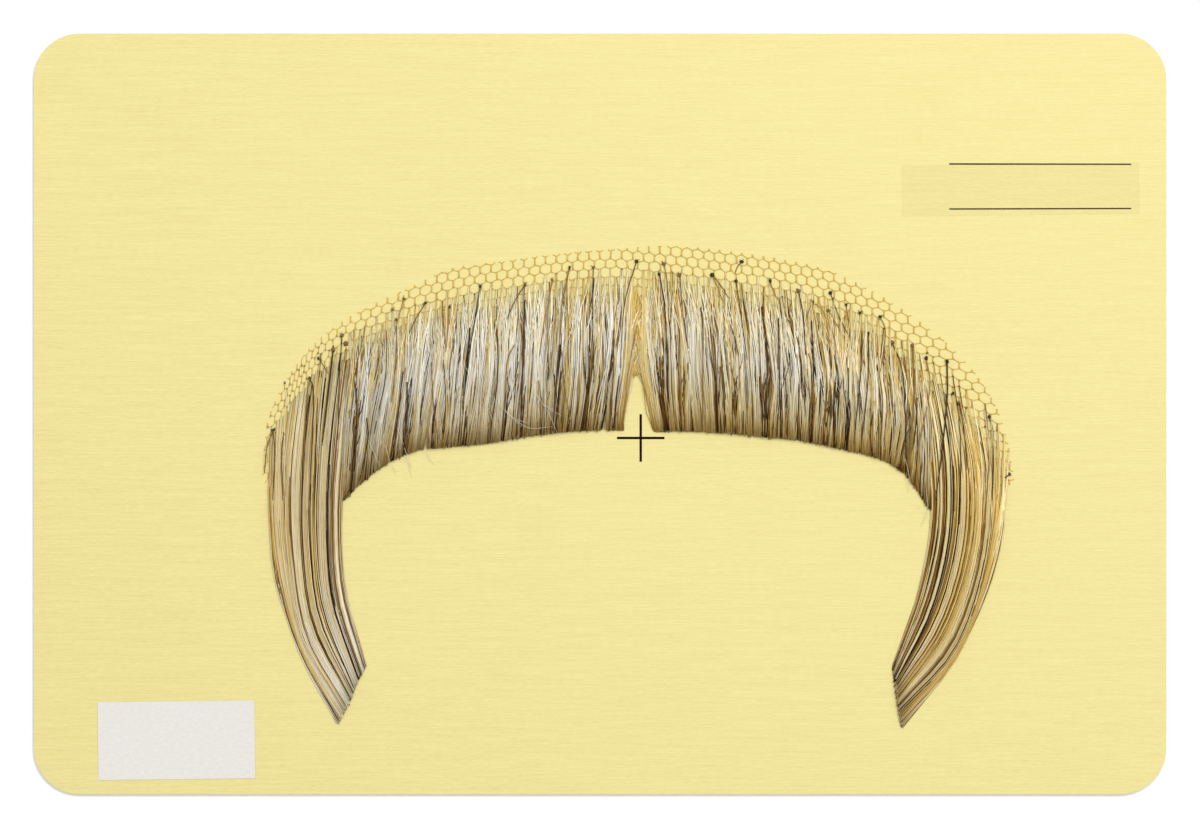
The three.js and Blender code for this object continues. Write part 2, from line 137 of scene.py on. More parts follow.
# Dark locks among the lip hair. x: where the lock meets the cut. wide: its width there.
# share: how much of its hair is dark. start: how far down the hair the dark begins.
DARK_LOCKS = [
    {"half": "left", "x": 1.7, "wide": 0.24, "share": 0.6, "start": 0.5},
    {"half": "left", "x": 0.2, "wide": 0.32, "share": 0.6, "start": 0.45},
    {"half": "left", "x": -2.1, "wide": 0.42, "share": 0.6, "start": 0.35},
    {"half": "left", "x": -4.4, "wide": 0.22, "share": 0.6, "start": 0.35},
    {"half": "left", "x": -6.0, "wide": 0.48, "share": 0.65, "start": 0.4},
    {"half": "left", "x": -8.1, "wide": 0.25, "share": 0.6, "start": 0.5},
    {"half": "left", "x": -10.6, "wide": 0.15, "share": 0.6, "start": 0.3},
    {"half": "left", "x": -13.2, "wide": 0.21, "share": 0.6, "start": 0.3},
    {"half": "left", "x": -18.1, "wide": 0.52, "share": 0.6, "start": 0.6},
    {"half": "left", "x": -20.2, "wide": 0.28, "share": 0.6, "start": 0.5},
    {"half": "left", "x": -22.8, "wide": 0.35, "share": 0.6, "start": 0.5},
    {"half": "left", "x": -26.2, "wide": 0.32, "share": 0.6, "start": 0.5},
    {"half": "left", "x": -27.7, "wide": 0.28, "share": 0.6, "start": 0.5},
    {"half": "left", "x": -31.6, "wide": 0.35, "share": 0.6, "start": 0.5},
    {"half": "left", "x": -33.6, "wide": 0.24, "share": 0.6, "start": 0.2},
    {"half": "right", "x": 9.2, "wide": 0.5, "share": 0.6, "start": 0.3},
    {"half": "right", "x": 11.2, "wide": 0.23, "share": 0.6, "start": 0.2},
    {"half": "right", "x": 15.8, "wide": 0.25, "share": 0.6, "start": 0.2},
    {"half": "right", "x": 18.2, "wide": 0.15, "share": 0.6, "start": 0.3},
    {"half": "right", "x": 22.2, "wide": 0.45, "share": 0.6, "start": 0.3},
    {"half": "right", "x": 24.3, "wide": 0.2, "share": 0.6, "start": 0.3},
    {"half": "right", "x": 28.2, "wide": 0.3, "share": 0.6, "start": 0.2},
    {"half": "right", "x": 30.2, "wide": 0.22, "share": 0.6, "start": 0.3},
    {"half": "right", "x": 31.6, "wide": 0.42, "share": 0.65, "start": 0.25},
    {"half": "right", "x": 33.2, "wide": 0.28, "share": 0.6, "start": 0.25},
    {"half": "right", "x": 35.0, "wide": 0.28, "share": 0.6, "start": 0.3},
    {"half": "right", "x": 36.8, "wide": 0.25, "share": 0.6, "start": 0.4},
    {"half": "right", "x": 40.2, "wide": 0.3, "share": 0.6, "start": 0.4},
]

# Streaks down the drops. at: share of the width, from the inner edge (0) to the outer (1).
# wide: share of the width. tone: which hair it holds. share: how much of it.
STREAKS = {
    "left": [
        {"at": 0.01, "wide": 0.03, "tone": "brown", "share": 0.8},
        {"at": 0.06, "wide": 0.05, "tone": "silver", "share": 0.5},
        {"at": 0.11, "wide": 0.03, "tone": "brown", "share": 0.75},
        {"at": 0.165, "wide": 0.04, "tone": "dark", "share": 0.75},
        {"at": 0.24, "wide": 0.06, "tone": "grey", "share": 0.5},
        {"at": 0.305, "wide": 0.035, "tone": "dark", "share": 0.75},
        {"at": 0.345, "wide": 0.025, "tone": "brown", "share": 0.7},
        {"at": 0.385, "wide": 0.045, "tone": "dark", "share": 0.75},
        {"at": 0.43, "wide": 0.04, "tone": "grey", "share": 0.5},
        {"at": 0.495, "wide": 0.038, "tone": "dark", "share": 0.8},
        {"at": 0.57, "wide": 0.08, "tone": "silver", "share": 0.5},
        {"at": 0.63, "wide": 0.012, "tone": "brown", "share": 0.5},
        {"at": 0.71, "wide": 0.010, "tone": "brown", "share": 0.5},
        {"at": 0.775, "wide": 0.016, "tone": "brown", "share": 0.7},
        {"at": 0.85, "wide": 0.06, "tone": "silver", "share": 0.4},
        {"at": 0.90, "wide": 0.010, "tone": "brown", "share": 0.5},
        {"at": 0.94, "wide": 0.016, "tone": "dark", "share": 0.6},
        {"at": 0.985, "wide": 0.016, "tone": "brown", "share": 0.4},
    ],
    "right": [
        {"at": 0.015, "wide": 0.035, "tone": "brown", "share": 0.8},
        {"at": 0.06, "wide": 0.04, "tone": "dark", "share": 0.75},
        {"at": 0.105, "wide": 0.03, "tone": "brown", "share": 0.7},
        {"at": 0.145, "wide": 0.03, "tone": "dark", "share": 0.7},
        {"at": 0.175, "wide": 0.02, "tone": "silver", "share": 0.6},
        {"at": 0.21, "wide": 0.035, "tone": "dark", "share": 0.75},
        {"at": 0.255, "wide": 0.03, "tone": "brown", "share": 0.8},
        {"at": 0.29, "wide": 0.02, "tone": "dark", "share": 0.7},
        {"at": 0.33, "wide": 0.05, "tone": "grey", "share": 0.5},
        {"at": 0.37, "wide": 0.02, "tone": "brown", "share": 0.8},
        {"at": 0.41, "wide": 0.03, "tone": "brown", "share": 0.85},
        {"at": 0.46, "wide": 0.018, "tone": "dark", "share": 0.7},
        {"at": 0.51, "wide": 0.06, "tone": "tan", "share": 0.5},
        {"at": 0.57, "wide": 0.028, "tone": "brown", "share": 0.85},
        {"at": 0.62, "wide": 0.018, "tone": "brown", "share": 0.7},
        {"at": 0.66, "wide": 0.05, "tone": "grey", "share": 0.5},
        {"at": 0.705, "wide": 0.015, "tone": "dark", "share": 0.6},
        {"at": 0.73, "wide": 0.022, "tone": "brown", "share": 0.85},
        {"at": 0.78, "wide": 0.016, "tone": "brown", "share": 0.7},
        {"at": 0.84, "wide": 0.08, "tone": "tan", "share": 0.6},
        {"at": 0.90, "wide": 0.018, "tone": "brown", "share": 0.75},
        {"at": 0.985, "wide": 0.025, "tone": "brown", "share": 0.8},
    ],
}

# Single hairs that stand out, each from its own knot well up on the net. from, by, to: its knot, a point
# on its way and where it ends or dips under its neighbours.
SINGLES = [
    {"from": (-16.1, 17.2), "by": (-16.5, 14.9), "to": (-17.1, 10.6), "tone": "dark", "wide": "thin"},
    {"from": (-17.5, 11.6), "by": (-17.6, 9.6), "to": (-18.0, 7.0), "tone": "dark", "wide": "thick"},
    {"from": (-10.1, 17.4), "by": (-11.5, 15.1), "to": (-12.5, 12.7), "tone": "dark", "wide": "thin"},
    {"from": (-10.1, 15.3), "by": (-10.3, 8.6), "to": (-10.7, -2.6), "tone": "dark", "wide": "thick"},
    {"from": (-23.5, 14.9), "by": (-24.7, 12.9), "to": (-25.7, 10.8), "tone": "brown", "wide": "thin"},
    {"from": (-26.4, 15.5), "by": (-27.0, 13.3), "to": (-27.6, 10.8), "tone": "brown", "wide": "thin"},
    {"from": (-21.2, 14.0), "by": (-21.0, 12.4), "to": (-20.8, 10.0), "tone": "brown", "wide": "thin"},
    {"from": (-20.3, 14.3), "by": (-20.4, 11.6), "to": (-20.7, 8.3), "tone": "brown", "wide": "mid"},
    {"from": (-11.5, 9.3), "by": (-12.5, 6.5), "to": (-13.0, -2.4), "tone": "brown", "wide": "mid"},
    {"from": (-22.6, 7.0), "by": (-22.4, 1.9), "to": (-21.8, -3.5), "tone": "brown", "wide": "thin"},
    {"from": (-21.0, 7.3), "by": (-20.7, 1.9), "to": (-21.1, -3.5), "tone": "dark", "wide": "thin"},
    {"from": (-25.9, 4.3), "by": (-25.9, -0.1), "to": (-26.5, -5.7), "tone": "dark", "wide": "thick"},
    {"from": (-26.4, 5.7), "by": (-27.0, 0.8), "to": (-27.7, -4.6), "tone": "dark", "wide": "mid"},
    {"from": (-6.4, 18.0), "by": (-7.0, 13.7), "to": (-6.8, 4.6), "tone": "brown", "wide": "mid"},
    {"from": (-4.1, 19.7), "by": (-5.1, 14.7), "to": (-5.4, 9.3), "tone": "brown", "wide": "mid"},
    {"from": (-5.4, 9.3), "by": (-5.9, 3.9), "to": (-6.3, -2.3), "tone": "dark", "wide": "thick"},
    {"from": (-5.9, 14.3), "by": (-6.3, 9.3), "to": (-6.7, 5.1), "tone": "brown", "wide": "thin"},
    {"from": (-0.9, 19.7), "by": (-1.0, 14.0), "to": (-0.8, 4.2), "tone": "dark", "wide": "thin"},
    {"from": (-5.2, 8.9), "by": (-4.7, 3.2), "to": (-3.7, -2.3), "tone": "brown", "wide": "thin"},
    {"from": (-1.5, 9.3), "by": (-1.6, 3.9), "to": (-2.5, -2.3), "tone": "dark", "wide": "mid"},
    {"from": (4.9, 20.5), "by": (3.3, 14.7), "to": (2.7, 6.2), "tone": "dark", "wide": "thin"},
    {"from": (5.0, 12.0), "by": (3.9, 6.2), "to": (3.0, -2.3), "tone": "brown", "wide": "thin"},
    {"from": (1.8, 11.3), "by": (1.8, 5.2), "to": (1.2, -2.3), "tone": "brown", "wide": "mid"},
    {"from": (2.6, 5.2), "by": (2.2, 1.6), "to": (1.9, -2.3), "tone": "dark", "wide": "thin"},
    {"from": (1.5, 8.3), "by": (0.6, 5.4), "to": (-0.4, 1.6), "tone": "grey", "wide": "mid"},
    {"from": (8.0, 18.8), "by": (8.8, 12.9), "to": (9.2, -2.3), "tone": "dark", "wide": "mid"},
    {"from": (8.6, 20.2), "by": (9.0, 18.0), "to": (9.2, 15.3), "tone": "brown", "wide": "thin"},
    {"from": (10.7, 18.7), "by": (10.9, 16.4), "to": (11.1, 13.7), "tone": "brown", "wide": "thin"},
    {"from": (13.5, 14.3), "by": (13.8, 12.0), "to": (13.8, 9.3), "tone": "dark", "wide": "mid"},
    {"from": (13.8, 9.3), "by": (13.8, 3.9), "to": (13.8, -2.3), "tone": "brown", "wide": "mid"},
    {"from": (15.1, 18.7), "by": (15.9, 16.8), "to": (16.6, 14.9), "tone": "brown", "wide": "thin"},
    {"from": (15.1, 18.7), "by": (16.3, 17.2), "to": (17.3, 15.6), "tone": "brown", "wide": "thin"},
    {"from": (17.5, 12.0), "by": (18.1, 10.0), "to": (18.6, 7.8), "tone": "dark", "wide": "thin"},
    {"from": (18.3, 17.9), "by": (19.0, 12.9), "to": (19.7, 7.5), "tone": "dark", "wide": "thin"},
    {"from": (19.1, 20.5), "by": (18.5, 19.8), "to": (18.1, 18.7), "tone": "brown", "wide": "thin"},
    {"from": (22.9, 17.9), "by": (23.4, 16.3), "to": (24.3, 14.8), "tone": "brown", "wide": "thin"},
    {"from": (24.5, 15.7), "by": (24.9, 13.7), "to": (25.6, 11.7), "tone": "brown", "wide": "thin"},
    {"from": (21.7, 14.4), "by": (22.4, 8.6), "to": (22.2, -2.6), "tone": "dark", "wide": "mid"},
    {"from": (24.0, 12.9), "by": (24.0, 6.6), "to": (24.3, -2.7), "tone": "dark", "wide": "mid"},
    {"from": (15.0, 13.3), "by": (15.5, 7.9), "to": (16.0, -2.4), "tone": "brown", "wide": "thin"},
    {"from": (10.4, 10.6), "by": (10.8, 5.2), "to": (11.1, -2.3), "tone": "brown", "wide": "mid"},
    {"from": (11.3, 12.9), "by": (11.5, 11.3), "to": (11.6, 9.7), "tone": "dark", "wide": "thin"},
    {"from": (26.7, 16.6), "by": (27.3, 13.3), "to": (27.6, 7.9), "tone": "dark", "wide": "mid"},
    {"from": (28.6, 15.1), "by": (30.3, 13.2), "to": (31.1, 7.0), "tone": "brown", "wide": "thin"},
    {"from": (28.6, 15.1), "by": (28.0, 13.5), "to": (27.8, 11.8), "tone": "brown", "wide": "thin"},
    {"from": (28.4, 12.4), "by": (28.6, 8.6), "to": (28.6, 4.3), "tone": "dark", "wide": "mid"},
    {"from": (28.6, 4.3), "by": (28.7, 0.5), "to": (28.6, -3.2), "tone": "brown", "wide": "mid"},
    {"from": (31.0, 16.3), "by": (32.1, 13.2), "to": (33.4, 10.6), "tone": "dark", "wide": "thin"},
    {"from": (30.8, 13.9), "by": (31.4, 12.7), "to": (32.1, 11.6), "tone": "brown", "wide": "mid"},
    {"from": (33.1, 14.7), "by": (33.5, 12.0), "to": (33.7, 9.3), "tone": "brown", "wide": "thin"},
    {"from": (35.0, 13.6), "by": (35.2, 8.6), "to": (34.1, -4.0), "tone": "dark", "wide": "mid"},
    {"from": (36.1, 10.9), "by": (36.0, 5.2), "to": (35.2, -3.6), "tone": "dark", "wide": "mid"},
    {"from": (37.7, 13.1), "by": (38.4, 10.9), "to": (37.7, 5.7), "tone": "brown", "wide": "thin"},
    {"from": (39.3, 9.6), "by": (40.7, 5.2), "to": (41.2, -7.3), "tone": "dark", "wide": "thin"},
    {"from": (42.0, 9.2), "by": (42.2, 2.6), "to": (41.3, -8.2), "tone": "brown", "wide": "thick"},
    {"from": (43.9, 7.5), "by": (44.3, 3.0), "to": (42.3, -6.2), "tone": "brown", "wide": "mid"},
    {"from": (33.3, 6.2), "by": (33.3, 1.9), "to": (32.9, -4.0), "tone": "dark", "wide": "mid"},
    {"from": (42.6, 2.2), "by": (42.4, -1.5), "to": (42.0, -4.8), "tone": "dark", "wide": "mid"},
    {"from": (46.7, 7.0), "by": (46.6, 1.2), "to": (45.1, -11.6), "tone": "dark", "wide": "thick"},
    {"from": (48.3, 1.5), "by": (48.9, -2.2), "to": (49.3, -7.5), "tone": "dark", "wide": "thin"},
    {"from": (52.4, -0.4), "by": (52.9, -3.2), "to": (52.7, -11.6), "tone": "dark", "wide": "mid"},
    {"from": (55.1, -8.1), "by": (54.8, -8.3), "to": (54.5, -8.6), "tone": "dark", "wide": "mid"},
    {"from": (51.2, -3.9), "by": (51.7, -6.2), "to": (51.8, -9.2), "tone": "brown", "wide": "thin"},
    {"from": (-34.7, 10.6), "by": (-35.0, 5.2), "to": (-35.2, -3.5), "tone": "dark", "wide": "thin"},
    {"from": (-37.9, 7.5), "by": (-37.3, 6.7), "to": (-36.6, 5.5), "tone": "brown", "wide": "thin"},
    {"from": (-39.0, 4.8), "by": (-39.5, 1.2), "to": (-39.9, -8.9), "tone": "brown", "wide": "mid"},
    {"from": (-39.0, 4.8), "by": (-38.5, 1.9), "to": (-39.0, -11.6), "tone": "dark", "wide": "mid"},
    {"from": (-33.6, 7.3), "by": (-34.0, 3.9), "to": (-34.2, 1.6), "tone": "brown", "wide": "thin"},
    {"from": (-32.7, 3.5), "by": (-32.7, -0.8), "to": (-33.1, -9.2), "tone": "dark", "wide": "thin"},
    {"from": (-27.3, 12.7), "by": (-27.4, 7.3), "to": (-28.0, 1.6), "tone": "brown", "wide": "thin"},
    {"from": (-44.0, -2.2), "by": (-44.8, -4.6), "to": (-45.1, -7.9), "tone": "brown", "wide": "mid"},
    {"from": (-44.0, -2.2), "by": (-43.7, -5.5), "to": (-44.0, -11.6), "tone": "brown", "wide": "mid"},
    {"from": (-42.5, -2.6), "by": (-42.8, -5.5), "to": (-42.6, -11.6), "tone": "brown", "wide": "mid"},
    {"from": (-31.3, -0.5), "by": (-31.2, -3.5), "to": (-32.3, -9.0), "tone": "dark", "wide": "mid"},
    {"from": (-35.9, 8.6), "by": (-36.4, 3.9), "to": (-37.3, -4.2), "tone": "dark", "wide": "thick"},
]
SINGLE_WIDE = {"thin": 0.12, "mid": 0.16, "thick": 0.21}

# Fine pale hairs that stray across the others or stick out below the cut.
STRAYS = [
    {"from": (-15.9, 3.9), "by": (-13.4, 1.1), "to": (-10.6, -1.7)},
    {"from": (-16.9, 4.8), "by": (-15.6, 2.2), "to": (-13.8, -2.4)},
    {"from": (-8.5, 2.6), "by": (-7.0, 0.3), "to": (-5.6, -2.9)},
    {"from": (-7.6, 1.3), "by": (-6.4, 0.5), "to": (-5.1, -0.3)},
    {"from": (-13.6, 1.6), "by": (-11.8, -0.4), "to": (-9.4, -1.3)},
    {"from": (-11.4, -0.8), "by": (-9.4, -1.9), "to": (-6.4, -1.7)},
    {"from": (-18.3, 7.1), "by": (-17.5, 5.2), "to": (-16.1, 3.0)},
    {"from": (31.0, 5.9), "by": (31.8, 3.9), "to": (32.6, 2.2)},
    {"from": (-28.9, 2.2), "by": (-29.9, -1.5), "to": (-30.8, -5.1)},
    {"from": (-31.5, -2.7), "by": (-30.4, -5.1), "to": (-29.6, -7.0)},
    {"from": (-27.2, -1.9), "by": (-26.4, -4.2), "to": (-25.3, -7.4)},
    {"from": (-28.8, -4.2), "by": (-28.2, -6.5), "to": (-27.4, -8.1)},
    {"from": (-26.2, -5.5), "by": (-25.7, -7.0), "to": (-25.4, -8.5)},
    {"from": (-23.4, -4.6), "by": (-23.0, -6.0), "to": (-22.2, -6.9)},
    {"from": (41.0, -6.0), "by": (41.6, -8.6), "to": (41.4, -10.6)},
    {"from": (43.9, -10.2), "by": (44.0, -12.9), "to": (43.2, -15.2)},
    {"from": (-36.3, -2.6), "by": (-37.0, -3.6), "to": (-37.9, -4.4)},
]

# Gaps at the cut, where the card shows. x: middle. wide: at the cut. high: share of the hair's length.
OVER_FIRST_ROW = {"left": (0.9, 0.9, 1.2, 1.6, 1.9), "right": (0.9, 1.2, 2.2, 2.8, 2.2)}  # reach of the thin first rows, parting to outer end

GAPS = [
    {"half": "left", "x": 0.55, "wide": 0.75, "high": 0.22},
    {"half": "left", "x": 2.1, "wide": 0.35, "high": 0.14},
    {"half": "left", "x": -23.5, "wide": 0.7, "high": 0.13},
    {"half": "left", "x": -20.5, "wide": 0.3, "high": 0.08},
    {"half": "left", "x": -27.3, "wide": 0.35, "high": 0.18},
    {"half": "right", "x": 26.7, "wide": 0.4, "high": 0.08},
    {"half": "right", "x": 19.6, "wide": 0.25, "high": 0.06},
    {"half": "right", "x": 39.0, "wide": 0.3, "high": 0.08},
]

rng = np.random.default_rng(20)


# ---- Curves and fields -------------------------------------------------------------------------
def ease(t):
    c = np.clip(t, 0.0, 1.0)
    return c * c * (3 - 2 * c)


def through(values, t):
    """A smooth curve through evenly spaced values (first axis), read at t, counted in steps."""
    values = np.asarray(values, float)
    t = np.asarray(t, float)
    last = len(values) - 1
    i = np.clip(np.floor(t), 0, last - 1).astype(int)
    f = (t - i).reshape(t.shape + (1,) * (values.ndim - 1))
    b, c = values[i], values[i + 1]
    low, high = (i > 0).reshape(f.shape), (i < last - 1).reshape(f.shape)
    a = np.where(low, values[np.maximum(i - 1, 0)], 2 * b - c)
    d = np.where(high, values[np.minimum(i + 2, last)], 2 * c - b)
    return 0.5 * (2 * b + (c - a) * f + (2 * a - 5 * b + 4 * c - d) * f**2 + (3 * b - a - 3 * c + d) * f**3)


def along(paths, s):
    """Points at shares s (N, K) of N paths, each with stations (N, M, 2)."""
    m = paths.shape[1]
    t = s * (m - 1)
    i = np.clip(np.floor(t), 0, m - 2).astype(int)
    f = (t - i)[..., None]
    rows = np.arange(len(paths))[:, None]
    b, c = paths[rows, i], paths[rows, i + 1]
    a = np.where((i > 0)[..., None], paths[rows, np.maximum(i - 1, 0)], 2 * b - c)
    d = np.where((i < m - 2)[..., None], paths[rows, np.minimum(i + 2, m - 1)], 2 * c - b)
    return 0.5 * (2 * b + (c - a) * f + (2 * a - 5 * b + 4 * c - d) * f**2 + (3 * b - a - 3 * c + d) * f**3)


def stations(table):
    keys = [k for k in ("root", "upper", "middle", "lower", "tip") if k in table[0]]
    return np.array([[row[k] for k in keys] for row in table], float)


class Field:
    """The hair paths of one tuft, read at any share across (0 at the parting side) and along."""

    def __init__(self, table, full_at, lift_from):
        self.paths = stations(table)
        self.steps = len(table) - 1
        self.full = np.array([row["full"] for row in table])
        self.end = np.array([row["end"] for row in table])
        self.full_at, self.lift_from = full_at, lift_from
        u, s = np.meshgrid(np.linspace(0, 1, 121), np.linspace(0, 1, 161), indexing="ij")
        self.grid = np.stack([u.ravel(), s.ravel()], 1)
        self.spots = self.at(u, s).reshape(-1, 2)

    def at(self, u, s):
        """Points for shares across u (N,) or (N, K) and along s (N, K)."""
        u = np.asarray(u, float)
        s = np.asarray(s, float)
        if u.ndim == 1:
            return along(through(self.paths, u * self.steps), s)
        flat = along(through(self.paths, u.ravel() * self.steps), s.reshape(-1, 1))
        return flat.reshape(u.shape + (2,))

    def depth(self, u, s):
        full, end = through(self.full, u * self.steps), through(self.end, u * self.steps)
        up = 0.25 + (full - 0.25) * ease(s / self.full_at)
        down = full + (end - full) * ease((s - self.full_at) / (1 - self.full_at))
        return np.where(s < self.full_at, up, down)

    def lift(self, s):
        return ON_LACE * (1 - ease((s - self.lift_from) / 0.3))

    def find(self, points):
        """Shares (across, along) of the field's points nearest to points (N, 2), and how far off they are."""
        best, off = np.zeros((len(points), 2)), np.zeros(len(points))
        for k in range(0, len(points), 200):
            d = ((points[k : k + 200, None] - self.spots[None]) ** 2).sum(2)
            i = d.argmin(1)
            best[k : k + 200], off[k : k + 200] = self.grid[i], np.sqrt(d[np.arange(len(i)), i])
        return best, off


lip = {h: Field(LIP[h], 0.5, 0.5) for h in LIP}
drop = {h: Field(DROP[h], 0.3, 0.3) for h in DROP}


def wander(x, step, seed):
    """Smooth noise from -1 to 1 along x, with a new value every step."""
    values = np.random.default_rng(seed).uniform(-1, 1, 4096)
    t = np.asarray(x, float) / step + 1000.0
    i = np.floor(t).astype(int)
    return values[i % 4096] + (values[(i + 1) % 4096] - values[i % 4096]) * ease(t - i)


# ---- Meshes from arrays ------------------------------------------------------------------------
def build(name, verts, quads, tris, material, uv=None, smooth=True, body="root"):
    """A mesh from arrays. uv: (faces' corners, 2), quads first."""
    mesh = bpy.data.meshes.new(name)
    corners = np.concatenate([np.asarray(quads, int).reshape(-1), np.asarray(tris, int).reshape(-1)]).astype(np.int32)
    nq, nt = len(quads), len(tris)
    starts = np.concatenate([np.arange(nq) * 4, nq * 4 + np.arange(nt) * 3]).astype(np.int32)
    mesh.vertices.add(len(verts))
    mesh.vertices.foreach_set("co", (np.asarray(verts, float) * MM).astype(np.float32).ravel())
    mesh.loops.add(len(corners))
    mesh.loops.foreach_set("vertex_index", corners)
    mesh.polygons.add(nq + nt)
    mesh.polygons.foreach_set("loop_start", starts)
    mesh.update(calc_edges=True)
    mesh.polygons.foreach_set("use_smooth", np.full(nq + nt, smooth))
    if uv is not None:
        layer = mesh.uv_layers.new(name="OFBake")
        layer.data.foreach_set("uv", np.asarray(uv, np.float32).ravel())
    mesh.validate()
    obj = bpy.data.objects.new(name, mesh)
    bpy.context.scene.collection.objects.link(obj)
    mesh.materials.append(material)
    print(name, 2 * nq + nt, "triangles")
    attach(obj, body)
    return obj


def tubes(points, radius, column, columns, v, sides=3, flat=1.0):
    """Closed tubes along points (N, K, 3), with radius (N, K). Each takes its colour from one column of a
    chart that has `columns` of them, at heights v (N, K)."""
    n, k, _ = points.shape
    ahead = np.empty_like(points)
    ahead[:, 1:-1] = points[:, 2:] - points[:, :-2]
    ahead[:, 0], ahead[:, -1] = points[:, 1] - points[:, 0], points[:, -1] - points[:, -2]
    ahead /= np.linalg.norm(ahead, axis=2, keepdims=True) + 1e-12
    side = np.cross(ahead, [0.0, 0.0, 1.0])
    side /= np.linalg.norm(side, axis=2, keepdims=True) + 1e-12
    up = np.cross(side, ahead)
    ring = -np.pi / 2 + 2 * np.pi * np.arange(sides) / sides  # an edge below, so a three-sided hair has a flat top
    verts = (
        points[:, :, None]
        + radius[:, :, None, None] * np.cos(ring)[None, None, :, None] * side[:, :, None]
        + flat * radius[:, :, None, None] * np.sin(ring)[None, None, :, None] * up[:, :, None]
    ).reshape(-1, 3)
    i, j, q = np.meshgrid(np.arange(n), np.arange(k - 1), np.arange(sides), indexing="ij")
    here, there = (i * k + j) * sides, (i * k + j + 1) * sides
    q2 = (q + 1) % sides
    quads = np.stack([here + q, here + q2, there + q2, there + q], -1).reshape(-1, 4)
    first = (np.arange(n) * k * sides)[:, None]
    last = first + (k - 1) * sides
    fan = np.array([[0, b, b + 1] for b in range(1, sides - 1)])
    start = (first[:, None] + fan[None, :, ::-1]).reshape(-1, 3)
    end = (last[:, None] + fan[None]).reshape(-1, 3)
    tris = np.concatenate([start, end])
    left = (column[:, None, None] + 0.12 + 0.76 * q / sides) / columns
    right = (column[:, None, None] + 0.12 + 0.76 * (q + 1) / sides) / columns
    low, high = np.broadcast_to(v[:, :-1, None], q.shape), np.broadcast_to(v[:, 1:, None], q.shape)
    uv_quads = np.stack([np.stack([left, low], -1), np.stack([right, low], -1), np.stack([right, high], -1), np.stack([left, high], -1)], 3)
    cap = np.array([(0.3, 0.0), (0.7, 0.0), (0.5, 0.008)])

    def caps(at):
        base = np.stack([np.repeat(column, sides - 2) / columns, np.repeat(at, sides - 2)], -1)
        return base[:, None] + cap[None] * [1 / columns, 1.0]

    uv = np.concatenate([uv_quads.reshape(-1, 2), caps(v[:, 0]).reshape(-1, 2), caps(v[:, -1] - 0.008).reshape(-1, 2)])
    return verts, quads, tris, uv


def joined(parts):
    """Several (verts, quads, tris, uv) as one, with quads before triangles."""
    verts, quads, tris, uq, ut, shift = [], [], [], [], [], 0
    for v, q, t, uv in parts:
        verts.append(v)
        quads.append(np.asarray(q).reshape(-1, 4) + shift)
        tris.append(np.asarray(t).reshape(-1, 3) + shift)
        uq.append(uv[: 4 * len(q)])
        ut.append(uv[4 * len(q) :])
        shift += len(v)
    return np.concatenate(verts), np.concatenate(quads), np.concatenate(tris), np.concatenate(uq + ut)


# ---- Materials ---------------------------------------------------------------------------------
def linear(rgb):
    c = np.array(rgb, float) / 255.0
    c = np.where(c <= 0.04045, c / 12.92, ((c + 0.055) / 1.055) ** 2.4)
    return (*[float(x) for x in c], 1.0)


class Nodes:
    """A material's node tree, built a line at a time."""

    def __init__(self, name):
        self.material = bpy.data.materials.new(name)
        self.material.use_nodes = True
        self.tree = self.material.node_tree
        self.shader = self.tree.nodes["Principled BSDF"]

    def add(self, kind, links=None, **values):
        made = self.tree.nodes.new(kind)
        for key, value in values.items():
            if hasattr(made, key):
                setattr(made, key, value)
        for socket, value in (links or {}).items():
            self.put(made, socket, value)
        return made

    def put(self, made, socket, value):
        if isinstance(value, bpy.types.NodeSocket):
            self.tree.links.new(value, made.inputs[socket])
        else:
            made.inputs[socket].default_value = value

    def shade(self, **values):
        for socket, value in values.items():
            self.put(self.shader, socket.replace("_", " "), value)

    def math(self, operation, a, b=0.0, c=0.0, clamp=False):
        made = self.add("ShaderNodeMath", operation=operation, use_clamp=clamp)
        for i, value in enumerate((a, b, c)):
            self.put(made, i, value)
        return made.outputs[0]

    def noise(self, vector, scale, detail=2.0, roughness=0.5, distortion=0.0):
        made = self.add("ShaderNodeTexNoise", {"Vector": vector, "Scale": scale, "Detail": detail, "Roughness": roughness, "Distortion": distortion})
        return made.outputs["Fac"]

    def stretched(self, vector, scale):
        return self.add("ShaderNodeVectorMath", {0: vector, 1: scale}, operation="MULTIPLY").outputs[0]

    def ramp(self, factor, stops, interpolation="LINEAR"):
        made = self.add("ShaderNodeValToRGB", {"Fac": factor})
        ramp = made.color_ramp
        ramp.interpolation = interpolation
        while len(ramp.elements) > 1:
            ramp.elements.remove(ramp.elements[-1])
        ramp.elements[0].position, ramp.elements[0].color = stops[0][0], stops[0][1]
        for position, colour in stops[1:]:
            ramp.elements.new(position).color = colour
        return made.outputs["Color"]

    def mix(self, factor, a, b, blend="MIX"):
        made = self.add("ShaderNodeMix", data_type="RGBA", blend_type=blend)
        for name, value in (("Factor", factor), ("A", a), ("B", b)):
            socket = next(s for s in made.inputs if s.name == name and s.type == ("VALUE" if name == "Factor" else "RGBA"))
            if isinstance(value, bpy.types.NodeSocket):
                self.tree.links.new(value, socket)
            else:
                socket.default_value = value
        return next(s for s in made.outputs if s.type == "RGBA")

    def bump(self, height, strength, distance):
        return self.add("ShaderNodeBump", {"Height": height, "Strength": strength, "Distance": distance}).outputs[0]

    def place(self):
        return self.add("ShaderNodeTexCoord").outputs["Object"]

    def facing_up(self):
        normal = self.add("ShaderNodeNewGeometry").outputs["True Normal"]
        return self.add("ShaderNodeSeparateXYZ", {0: normal}).outputs["Z"]


